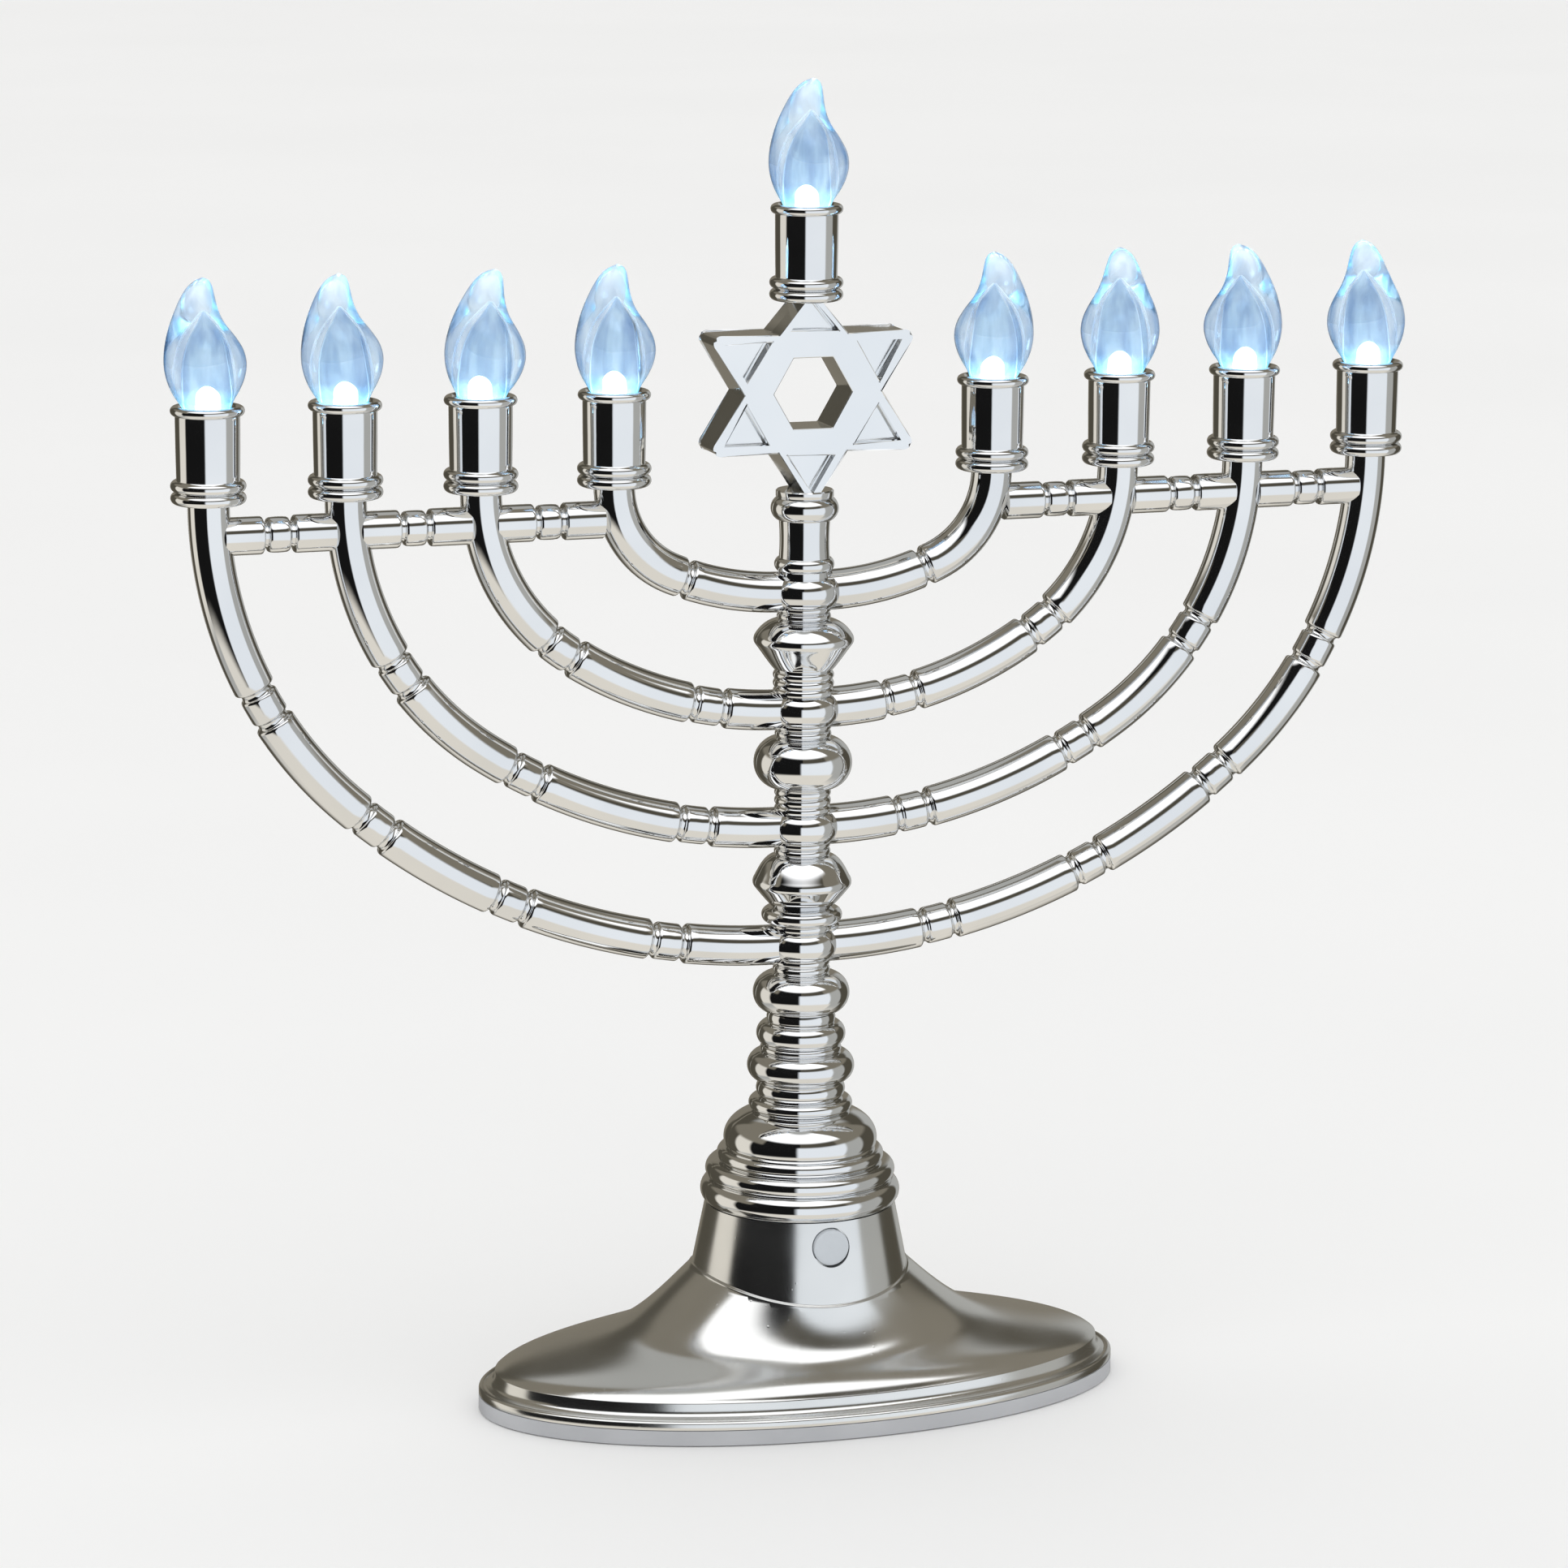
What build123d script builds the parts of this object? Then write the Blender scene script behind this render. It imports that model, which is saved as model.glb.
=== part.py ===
from build123d import *
import os
from math import cos, hypot, pi, radians, sin, sqrt

os.makedirs("parts", exist_ok=True)

# A nine-light electric menorah in bright plated plastic, standing on an oval battery base.
# Millimetres. The origin is on the table below the middle of the base. X runs along the row
# of lights, -Y is the front with the push button, +Z is up.

# ---- driving dimensions ------------------------------------------------------------------

# the row of lights: four arms a side, numbered from the inner pair outwards
LIGHT_PITCH = 31.0
INNER_ARM_X = 45.1
ARM_COUNT = 4
ARM_X = [INNER_ARM_X + LIGHT_PITCH * step for step in range(ARM_COUNT)]

# each arm: radius of its upper bend, degrees of that bend, bead distances down from the cup
UPPER_BEND = (22.5, 45.4, 71.4, 93.2)
UPPER_TURN = (67.0, 55.9, 56.4, 48.7)
BEADS = ((), (42.2, 80.3), (42.6, 80.7, 123.3), (47.8, 86.0, 123.0, 162.1))
LONE_GROOVE = 29.4
ARM_STUB = 5.0
ARM_RADIUS = 4.65
ARM_BORE = 2.9
BEAD_RADIUS = 4.25
GROOVE_RADIUS = 3.6
BEAD_HALF = 2.9
GROOVE_WIDTH = 1.5

# candle cups and their lights; the middle cup stands higher, on the star
CUP_BOTTOM = 214.75
CUP_HEIGHT = 20.6
STAR_CUP_LIFT = 40.4
RIM_RADIUS = 7.1
RIM_TUBE = 1.1
FOOT_RING = 1.3
SOCKET_RADIUS = 4.9
PLUG_RADIUS = 4.5
LED_RADIUS = 2.5
FLAME_TURN = (8, -18, -10, -18, -18, 140, 90, 152, 92)
FLAME_LEAN = (-3.0, -4.0, 5.0, 0.0, 1.0, 1.5, 0.0, -2.5, -3.5)

# link bars between neighbouring arms
BAR_HEIGHT = 207.2
BAR_RADIUS = 4.25
BAR_NECK = 2.75
BAR_BEAD = 3.9
BAR_BORE = 1.6

# six-pointed star
STAR_HEIGHT = 234.7
STAR_RADIUS = 26.8
STAR_HALF_DEPTH = 5.6
STAR_WIDENING = 1.055
TIP_ROUND = 1.5
STAR_WINDOW = 9.25
STAR_WALL = 1.6
STAR_FACE = 1.4

# turned shaft
CORE_RADIUS = 5.7
WIRE_BORE = 3.4
RING_RADIUS = 8.4
RING_HALF = 3.15
SHAFT_TOP = 212.1
COLLAR_BOTTOM = 45.6

# oval base
BASE_HALF_X = 76.5
BASE_HALF_Y = 41.9
FOOT_PROUD = 0.3
PLATE_TOP = 3.7
PLATE_FLOOR = 1.8
COVER_WALL = 1.8
LEDGE_TOP = 9.2
LEDGE_INSET = 3.9
NECK_TOP_RADIUS = 22.0
NECK_SLOPE = 0.2
BUTTON_HEIGHT = 40.0
BUTTON_RADIUS = 4.2
BUTTON_TRAVEL = 0.8
RUNNING_GAP = 0.08

# three AA cells lying along X under a door
CELL_RADIUS = 7.2
CELL_LENGTH = 50.5
CELL_PITCH = 15.2
CELL_HEIGHT = 9.7
BAY_HALF_X = 27.5
DOOR_HALF_X = 28.7
DOOR_FRONT = -24.4
DOOR_HINGE_Y = 23.4
DOOR_HINGE_Z = 1.4
DOOR_HALF_THICK = 0.8
HINGE_PIN = 0.6
SCREW_SPOTS = [(sx * 61.0, sy * 13.0) for sx in (-1, 1) for sy in (-1, 1)]
FOOT_SPOTS = [(sx * 48.0, sy * 25.0) for sx in (-1, 1) for sy in (-1, 1)]

Y_AXIS = (0, 1, 0)


def save(node, shape):
    solids = shape.solids()
    whole = solids[0] if len(solids) == 1 else Compound(children=list(solids))
    export_step(whole, f"parts/{node}.step")


def rod(radius, low, high, x=0.0, y=0.0):
    """Upright cylinder between two heights."""
    return Pos(x, y, (low + high) / 2) * Cylinder(radius, high - low)


def block(x_span, y_span, z_span):
    """Box between three pairs of limits."""
    centre = [(span[0] + span[1]) / 2 for span in (x_span, y_span, z_span)]
    size = [span[1] - span[0] for span in (x_span, y_span, z_span)]
    return Pos(*centre) * Box(*size)


def turned(outline, sweep=360):
    """Revolve an outline drawn in the XZ plane about the Z axis."""
    return revolve(outline, Axis.Z, sweep)


def xz_face(*edges):
    """Closed face in the XZ plane from edges given as (radius, height) curves."""
    return Plane.XZ * make_face([edge for curve in edges for edge in curve.edges()])


def bulge(low, high, root, out):
    """Rounded ring between two heights: root radius at its ends, out at its middle."""
    arc = ThreePointArc((root, low), (out, (low + high) / 2), (root, high))
    sides = Polyline((root, high), (0, high), (0, low), (root, low))
    return xz_face(arc, sides)


def knob(low, rim, high, root, out):
    """Knob with a rounded shoulder above its rim and a straight cone below it."""
    shoulder = (root + 0.72 * (out - root), rim + 0.62 * (high - rim))
    arc = ThreePointArc((out, rim + 0.6), shoulder, (root, high))
    sides = Polyline((root, high), (0, high), (0, low), (root, low), (out, rim - 0.6), (out, rim + 0.6))
    return xz_face(arc, sides)


def ribs(low, high, count, out):
    """Stack of fine rounded rings."""
    pitch = (high - low) / count
    faces = [bulge(low + pitch * n, low + pitch * (n + 1), out - 0.5, out) for n in range(count)]
    return Sketch() + faces


def oval(half_x, half_y, z):
    return Pos(0, 0, z) * Ellipse(half_x, half_y)


# ---- arms: two tangent arcs from the cup down to the shaft ---------------------------------


def arm_arcs(index):
    """Upper and lower arc of an arm: (centre x, centre z, radius, start, end) in degrees."""
    x, upper, turn = ARM_X[index], UPPER_BEND[index], UPPER_TURN[index]
    lower = (x - upper - ARM_STUB) / cos(radians(turn)) + upper
    upper_arc = (x - upper, CUP_BOTTOM, upper, 0.0, turn)
    lower_z = CUP_BOTTOM + (lower - upper) * sin(radians(turn))
    return upper_arc, (ARM_STUB, lower_z, lower, turn, 90.0)


def shaft_joint(index):
    """Height where an arm meets the shaft."""
    _, (_, centre_z, radius, _, _) = arm_arcs(index)
    return centre_z - radius


def arc_tube(arc, section, start, end):
    """Sweep a section, drawn about the tube's own centre, along part of an arc."""
    centre_x, centre_z, radius, _, _ = arc
    pivot = Axis((centre_x, 0, centre_z), Y_AXIS)
    return revolve(Pos(centre_x + radius, 0, centre_z) * section, pivot, end - start).rotate(pivot, start)


def arm_pieces(index):
    """Stretches of one arm as (start, end, radius), in distance down from the cup."""
    grooves = []
    for bead in BEADS[index]:
        grooves.append((bead - BEAD_HALF - GROOVE_WIDTH, bead - BEAD_HALF, GROOVE_RADIUS))
        grooves.append((bead - BEAD_HALF, bead + BEAD_HALF, BEAD_RADIUS))
        grooves.append((bead + BEAD_HALF, bead + BEAD_HALF + GROOVE_WIDTH, GROOVE_RADIUS))
    if not grooves:
        grooves.append((LONE_GROOVE - GROOVE_WIDTH / 2, LONE_GROOVE + GROOVE_WIDTH / 2, GROOVE_RADIUS))
    pieces = []
    reached = 0.0
    for start, end, radius in grooves:
        if start > reached:
            pieces.append((reached, start, ARM_RADIUS))
        pieces.append((start, end, radius))
        reached = end
    length = sum(radians(arc[4] - arc[3]) * arc[2] for arc in arm_arcs(index))
    return pieces + [(reached, length, ARM_RADIUS)]


def arm_solid(index, section_of):
    """One right-hand arm; section_of(radius) draws its cross-section."""
    solid = Part()
    arc_start = 0.0
    for arc in arm_arcs(index):
        arc_length = radians(arc[4] - arc[3]) * arc[2]
        for start, end, radius in arm_pieces(index):
            low, high = max(start, arc_start), min(end, arc_start + arc_length)
            if high - low > 0.01:
                angles = [arc[3] + (s - arc_start) / arc[2] * 180 / pi for s in (low, high)]
                solid += arc_tube(arc, section_of(radius), *angles)
        arc_start += arc_length
    stub = extrude(Plane.YZ * Rot(0, 0, -90) * section_of(ARM_RADIUS), ARM_STUB)
    return solid + Pos(0, 0, shaft_joint(index)) * stub


def shell_section(side):
    """Half of a tube's cross-section: side -1 is the front half, +1 the rear half."""

    def section(radius):
        ring = Circle(radius) - Circle(ARM_BORE)
        return ring & (Pos(0, side * ARM_RADIUS) * Rectangle(4 * ARM_RADIUS, 2 * ARM_RADIUS))

    return section


def both_sides(right):
    return [right, mirror(right, Plane.YZ)]


# ---- shaft -----------------------------------------------------------------------------

JOINTS = [shaft_joint(index) for index in range(ARM_COUNT)]
RING_FLOOR = [joint - RING_HALF for joint in JOINTS]
RING_CEILING = [joint + RING_HALF for joint in JOINTS]


def shaft_outline():
    """Everything turned on the shaft, from the collar on the base up to the star's flange."""
    faces = [
        bulge(COLLAR_BOTTOM, 51.1, 21.6, 23.1),
        bulge(51.1, 55.2, 20.8, 21.95),
        bulge(55.2, 58.4, 18.4, 19.3),
        xz_face(
            ThreePointArc((17.2, 58.4), (17.95, 60.6), (17.3, 62.7)),
            ThreePointArc((17.3, 62.7), (15.2, 65.6), (11.3, 67.3)),
            Polyline((11.3, 67.3), (0, 67.3), (0, 58.4), (17.2, 58.4)),
        ),
        bulge(67.3, 70.3, 11.0, 12.0),
        bulge(70.3, 74.3, 9.3, 10.3),
        bulge(74.3, 81.2, 9.9, 12.4),
        bulge(81.2, 82.7, 9.0, 9.4),
        bulge(82.7, 88.0, 8.8, 10.3),
        bulge(88.0, 90.3, 7.7, 7.95),
        bulge(90.3, 99.7, 7.0, 11.15),
        ribs(99.7, RING_FLOOR[3], 2, 6.6),
        ribs(RING_CEILING[3], 111.6, 1, 7.0),
        bulge(111.6, 115.1, 7.6, 9.3),
        knob(115.1, 121.0, 127.4, 6.6, 11.45),
        ribs(127.4, RING_FLOOR[2], 2, 6.5),
        ribs(RING_CEILING[2], 143.1, 3, 6.5),
        bulge(143.1, 154.9, 6.7, 11.3),
        ribs(154.9, RING_FLOOR[1], 2, 6.5),
        ribs(RING_CEILING[1], 170.4, 3, 7.0),
        knob(170.4, 177.5, 182.2, 6.4, 11.55),
        ribs(182.2, RING_FLOOR[0], 2, 6.2),
        bulge(193.4, 196.5, 6.0, 6.85),
        bulge(205.2, 210.4, 6.3, 7.75),
        xz_face(Polyline((0, 210.4), (6.6, 210.4), (6.6, SHAFT_TOP), (0, SHAFT_TOP), (0, 210.4))),
        xz_face(Polyline((0, 60), (CORE_RADIUS, 60), (CORE_RADIUS, 211), (0, 211), (0, 60))),
    ]
    faces += [bulge(floor, top, 6.9, RING_RADIUS) for floor, top in zip(RING_FLOOR, RING_CEILING)]
    return Sketch() + faces


def shaft_bore():
    """Hollow of the shaft: wide in the collar, then a wire bore up to the star."""
    return xz_face(
        Polyline(
            (0, COLLAR_BOTTOM - 1), (20.2, COLLAR_BOTTOM - 1), (20.2, 50.2), (16.2, 56.0), (9.5, 64.0),
            (7.6, 68.0), (7.6, 80.0), (WIRE_BORE, 86.0), (WIRE_BORE, SHAFT_TOP + 1), (0, SHAFT_TOP + 1),
            (0, COLLAR_BOTTOM - 1),
        )
    )


def build_shaft():
    wire_ways = [Pos(0, 0, joint) * Rot(0, 90, 0) * Cylinder(1.8, 30) for joint in JOINTS]
    rear = turned(shaft_outline() - shaft_bore(), 180) - wire_ways
    save("shaft_front", rear.rotate(Axis.Z, 180))
    save("shaft_rear", rear)
    return turned(shaft_outline())


def build_arms(shaft):
    for index in range(ARM_COUNT):
        for side, name in ((-1, "front"), (1, "rear")):
            half = arm_solid(index, shell_section(side)) - shaft
            save(f"arm_{index + 1}_{name}", Part() + both_sides(half))


def build_bars():
    """Three link bars a side, each a reel, bead and reel, trimmed to the arms."""
    half_length = LIGHT_PITCH / 2 - 2.0
    arms = [arm_solid(index, Circle) for index in range(ARM_COUNT)]
    outline = Polyline(
        (-half_length, BAR_BORE), (-half_length, BAR_RADIUS), (-3.7, BAR_RADIUS), (-3.4, BAR_NECK),
        (-2.4, BAR_NECK), (-2.1, BAR_BEAD), (2.1, BAR_BEAD), (2.4, BAR_NECK), (3.4, BAR_NECK),
        (3.7, BAR_RADIUS), (half_length, BAR_RADIUS), (half_length, BAR_BORE), (-half_length, BAR_BORE),
    )
    whole = revolve(make_face(outline), Axis.X)
    for name, depth in (("front", (-30, 0)), ("rear", (0, 30))):
        half = whole & block((-30, 30), depth, (-30, 30))
        solids = []
        for index in range(ARM_COUNT - 1):
            x = ARM_X[index] + LIGHT_PITCH / 2
            bar = Pos(x, 0, BAR_HEIGHT) * half - arms[index] - arms[index + 1]
            solids += both_sides(bar)
        save(f"link_bars_{name}", Part() + solids)


# ---- star ------------------------------------------------------------------------------


def widened(corners, turn=0.0):
    """Closed outline through corners, turned by some degrees and then stretched sideways."""
    spin = radians(turn)
    placed = [
        (STAR_WIDENING * (x * cos(spin) - y * sin(spin)), x * sin(spin) + y * cos(spin)) for x, y in corners
    ]
    return make_face(Polyline(*placed, close=True))


def hexagram(radius):
    """Outline of a six-pointed star with one point up, its side points rounded."""
    corners = []
    for step in range(12):
        reach = radius if step % 2 == 0 else radius / sqrt(3)
        angle = radians(90 + 30 * step)
        corners.append((reach * cos(angle), reach * sin(angle)))
    outline = widened(corners)
    return fillet([corner for corner in outline.vertices() if abs(corner.X) > 0.8 * radius], TIP_ROUND)


def point_panel(step, border=1.5, inner_border=0.5):
    """Sunk triangle in one point of the star, counted round from the upper one."""
    tip = STAR_RADIUS - 2 * border
    base = STAR_RADIUS / 2 + inner_border
    half = (tip - base) / sqrt(3)
    return widened([(0, tip), (half, base), (-half, base)], 60 * step)


def build_star():
    """Two tray-shaped halves, closed on the middle plane, with a sunk panel in each point."""
    depth = STAR_HALF_DEPTH
    panel_depth = 2.5
    half = extrude(hexagram(STAR_RADIUS) - RegularPolygon(STAR_WINDOW, 6), depth)
    window_wall = RegularPolygon(STAR_WINDOW + STAR_WALL * 2 / sqrt(3), 6)
    hollow = extrude(hexagram(STAR_RADIUS - 2 * STAR_WALL) - window_wall, depth - STAR_FACE)
    wire_gate = Box(3.0, 80, 3.0) - extrude(window_wall, 20, both=True)
    for step in range(6):
        sink = point_panel(step)
        back = point_panel(step, 0.5, -0.9)
        half -= Pos(0, 0, depth - panel_depth) * extrude(sink, panel_depth + 1)
        hollow -= Pos(0, 0, depth - panel_depth - STAR_FACE) * extrude(back, panel_depth + STAR_FACE)
    half = half - hollow - wire_gate
    floor, ceiling = SHAFT_TOP - STAR_HEIGHT, CUP_BOTTOM + STAR_CUP_LIFT - STAR_HEIGHT
    half &= block((-60, 60), (floor, ceiling), (-1, 20))
    top = CUP_BOTTOM + STAR_CUP_LIFT
    front = Pos(0, 0, STAR_HEIGHT) * Rot(90, 0, 0) * half - rod(2.7, top - 3.2, top + 1)
    save("star_front", front)
    save("star_rear", mirror(front, Plane.XZ))


# ---- cups, lights and flames ---------------------------------------------------------------

LIGHT_SPOTS = [(-x, CUP_BOTTOM) for x in reversed(ARM_X)]
LIGHT_SPOTS += [(0.0, CUP_BOTTOM + STAR_CUP_LIFT)]
LIGHT_SPOTS += [(x, CUP_BOTTOM) for x in ARM_X]
RIM = CUP_HEIGHT


def candle_cup():
    """Plated cup: rim ring on top, two rings at its foot, a socket and a shelf for the light."""
    ring = FOOT_RING
    body = xz_face(Polyline((0, 0), (RIM_RADIUS - 0.1, 0), (RIM_RADIUS, RIM), (0, RIM), (0, 0)))
    rims = [Plane.XZ * Pos(RIM_RADIUS, RIM) * Circle(RIM_TUBE)]
    rims += [Plane.XZ * Pos(RIM_RADIUS - 0.05, ring * (1 + 2.07 * n)) * Circle(ring) for n in (0, 1)]
    hollow = xz_face(
        Polyline((0, RIM - 3.0), (SOCKET_RADIUS, RIM - 3.0), (SOCKET_RADIUS, RIM - 0.3), (6.3, RIM - 0.3),
                 (6.3, RIM + 2), (0, RIM + 2), (0, RIM - 3.0)),
    )
    chamber = xz_face(Polyline((0, 1.8), (5.6, 1.8), (5.6, RIM - 5.0), (0, RIM - 5.0), (0, 1.8)))
    cup = turned(Sketch() + [body] + rims - hollow - chamber)
    cup += rod(2.6, -3.0, 2.0)
    return cup - rod(1.8, -4.0, 3.0) - rod(2.0, RIM - 6.0, RIM - 2.0)


def led():
    """5 mm light with its flange and two leads."""
    base = RIM - 3.0
    body = rod(LED_RADIUS + 0.4, base, base + 1.0) + rod(LED_RADIUS, base, base + 7.2)
    dome = Pos(0, 0, base + 7.2) * Sphere(LED_RADIUS)
    leads = [rod(0.3, base - 7.0, base, x=sx * 1.27) for sx in (-1, 1)]
    return body + dome + leads


def flame_lens():
    """Clear flame-shaped cap: a bent drop that leans over its hollow side, with a pointed cavity."""
    rings = (
        (0.2, 0.0, 5.15), (2.0, -0.2, 5.9), (6.5, 0.1, 8.45), (11.0, 0.2, 9.05), (14.2, -0.2, 8.3),
        (17.0, -0.85, 7.1), (19.5, -1.3, 5.8), (22.0, -1.2, 4.85), (25.7, -0.55, 3.55), (28.2, 0.3, 2.1),
        (29.3, 0.7, 0.8),
    )
    body = loft([Pos(shift, 0, RIM + rise) * Circle(radius) for rise, shift, radius in rings])
    body += rod(PLUG_RADIUS, RIM - 2.6, RIM + 0.3)
    cavity = xz_face(
        ThreePointArc((0, RIM + 21.0), (3.3, RIM + 15.5), (4.7, RIM + 9.0)),
        Polyline((4.7, RIM + 9.0), (4.4, RIM + 0.9), (3.5, RIM - 0.6), (3.5, RIM - 3), (0, RIM - 3),
                 (0, RIM + 21.0)),
    )
    return body - turned(cavity)


def build_lights():
    cup, light, lens = candle_cup(), led(), flame_lens()
    lights = []
    for number, (x, bottom) in enumerate(LIGHT_SPOTS):
        spot = Pos(x, 0, bottom)
        lean_pivot = Axis((x, 0, bottom + RIM), Y_AXIS)
        save(f"candle_cup_{number + 1}", spot * cup)
        flame = spot * Rot(0, 0, FLAME_TURN[number]) * lens
        save(f"flame_{number + 1}", flame.rotate(lean_pivot, FLAME_LEAN[number]))
        lights.append(spot * light)
    save("leds", Compound(children=lights))


# ---- base ------------------------------------------------------------------------------

# height of the flared top against its spread: 0 at the neck, 1 at the ledge
FLARE_RISE = (
    (-0.03, 35.0), (0.04, 31.0), (0.136, 26.5), (0.214, 23.0), (0.293, 20.2), (0.37, 17.9), (0.45, 16.3),
    (0.607, 14.6), (0.765, 13.0), (0.924, 10.9), (1.0, LEDGE_TOP),
)
FLARE_INNER = 24.0


def neck_radius(z):
    return NECK_TOP_RADIUS + NECK_SLOPE * (COLLAR_BOTTOM - z)


def flare(inset=0.0, drop=0.0):
    """Solid under the flared top, grown from ovals that widen from the neck to the ledge."""
    ovals = []
    for spread, z in reversed(FLARE_RISE):
        half_x = FLARE_INNER + spread * (BASE_HALF_X - LEDGE_INSET - FLARE_INNER) - inset
        half_y = FLARE_INNER + spread * (BASE_HALF_Y - LEDGE_INSET - FLARE_INNER) - inset
        ovals.append(oval(half_x, half_y, z - drop))
    return loft(ovals)


def oval_slab(inset, low, high, top_inset=None):
    """Oval disc, inset from the base's outline, straight or drawn in towards its top."""
    lower = oval(BASE_HALF_X - inset, BASE_HALF_Y - inset, low)
    if top_inset is None:
        return extrude(lower, high - low)
    return loft([lower, oval(BASE_HALF_X - top_inset, BASE_HALF_Y - top_inset, high)], ruled=True)


def neck(shrink, low, high):
    outline = Polyline(
        (0, low), (neck_radius(low) - shrink, low), (neck_radius(high) - shrink, high), (0, high), (0, low)
    )
    return turned(xz_face(outline))


def base_interior():
    """Room inside the cover."""
    inset = LEDGE_INSET + COVER_WALL
    return oval_slab(inset, 3.0, LEDGE_TOP - COVER_WALL) + flare(COVER_WALL, COVER_WALL)


def build_base_cover():
    edge_bead = oval_slab(0, PLATE_TOP + 0.05, 5.85)
    edge_bead = fillet(edge_bead.edges().group_by(Axis.Z)[-1], 0.9)
    cover = edge_bead + oval_slab(2.2, 5.5, 7.0) + oval_slab(2.2, 7.0, LEDGE_TOP, LEDGE_INSET)
    cover += flare() + neck(0, 20.0, COLLAR_BOTTOM)
    cover = cover - base_interior() - neck(2.0, 15.0, COLLAR_BOTTOM - 2) - rod(17.8, 30, 60)
    cover += rod(19.9, 40, 49.8) - rod(17.8, 30, 60)
    cover -= block((-6.2, 6.2), (-20.0, -12.0), (33.0, 46.0))
    cover += [rod(3.2, 2.2, 10.2, x, y) for x, y in SCREW_SPOTS]
    cover -= [rod(1.2, 1.0, 9.0, x, y) for x, y in SCREW_SPOTS]
    cover -= Pos(0, -24, BUTTON_HEIGHT) * Rot(90, 0, 0) * Cylinder(BUTTON_RADIUS + RUNNING_GAP, 14)
    save("base_cover", cover)


def build_base_plate():
    """Oval floor tray with the battery bay, the door's hinge lugs and screw wells."""
    low = FOOT_PROUD
    plate = oval_slab(0, low, PLATE_TOP) - oval_slab(1.8, low + PLATE_FLOOR, PLATE_TOP + 1)
    bay_room = oval_slab(LEDGE_INSET + COVER_WALL + 0.4, 2.0, 7.2) + flare(COVER_WALL + 0.4, COVER_WALL + 0.4)
    bay = block((-30.6, 30.6), (-26.2, 26.2), (low + PLATE_FLOOR, 18.5)) & bay_room
    cell_room = CELL_RADIUS + 0.25
    half_y = CELL_PITCH + cell_room
    bay -= [Pos(0, y, CELL_HEIGHT) * Rot(0, 90, 0) * Cylinder(cell_room, 2 * BAY_HALF_X)
            for y in (-CELL_PITCH, 0, CELL_PITCH)]
    bay -= block((-BAY_HALF_X, BAY_HALF_X), (-half_y, half_y), (0, CELL_HEIGHT))
    plate += bay
    hinge_edge = DOOR_HINGE_Y + DOOR_HALF_THICK + 0.3
    plate -= block((-29.0, 29.0), (DOOR_FRONT - 0.3, hinge_edge), (-1, DOOR_HINGE_Z + 1.1))
    pin_way = Pos(0, DOOR_HINGE_Y, DOOR_HINGE_Z) * Rot(0, 90, 0) * Cylinder(HINGE_PIN + RUNNING_GAP, 61.0)
    plate -= pin_way
    plate -= [rod(1.6, 0, 2.5, x, y) for x, y in SCREW_SPOTS]
    plate -= [rod(3.2, 0, 1.3, x, y) for x, y in SCREW_SPOTS]
    plate -= [rod(5.1, 0, 1.2, x, y) for x, y in FOOT_SPOTS]
    save("base_plate", plate)


def build_door():
    """Battery door, rounded along its hinge edge, with a pin at each end."""
    reach = block((-DOOR_HALF_X, DOOR_HALF_X), (DOOR_FRONT, DOOR_HINGE_Y),
                  (DOOR_HINGE_Z - DOOR_HALF_THICK, DOOR_HINGE_Z + DOOR_HALF_THICK))
    hinge = Pos(0, DOOR_HINGE_Y, DOOR_HINGE_Z) * Rot(0, 90, 0)
    door = reach + hinge * Cylinder(DOOR_HALF_THICK, 2 * DOOR_HALF_X) + hinge * Cylinder(HINGE_PIN, 60.4)
    grips = [block((-6, 6), (DOOR_FRONT + 3 + 2 * n, DOOR_FRONT + 4 + 2 * n), (0, 0.9)) for n in range(3)]
    save("battery_door", door - grips)


def build_power():
    cell = Rot(0, 90, 0) * (Cylinder(CELL_RADIUS, CELL_LENGTH - 1.2) + rod(2.6, 0, CELL_LENGTH / 2))
    rows = [(-CELL_PITCH, 0), (0, 180), (CELL_PITCH, 0)]
    spring_room = 2 * BAY_HALF_X - 0.8 - CELL_LENGTH
    cells, springs, plates = [], [], []
    for y, turn in rows:
        row = Pos(0, y, CELL_HEIGHT) * Rot(0, 0, turn)
        shifted = Pos(BAY_HALF_X - 0.4 - CELL_LENGTH / 2, 0, 0)
        cells.append(row * shifted * cell)
        for sx in (-1, 1):
            edge = sx * (BAY_HALF_X - 0.2)
            plates.append(row * Pos(edge, 0, 0) * Box(0.4, 10, 9))
        coil_path = Helix(spring_room / 3, spring_room - 0.7, 3.4)
        wire = sweep(Plane(coil_path @ 0, z_dir=coil_path % 0) * Circle(0.3), coil_path)
        springs.append(row * Pos(-BAY_HALF_X + 0.75, 0, 0) * Rot(0, 90, 0) * wire)
    save("battery_cells", Compound(children=cells))
    save("contact_springs", Compound(children=springs))
    save("contact_plates", Compound(children=plates))


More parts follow.
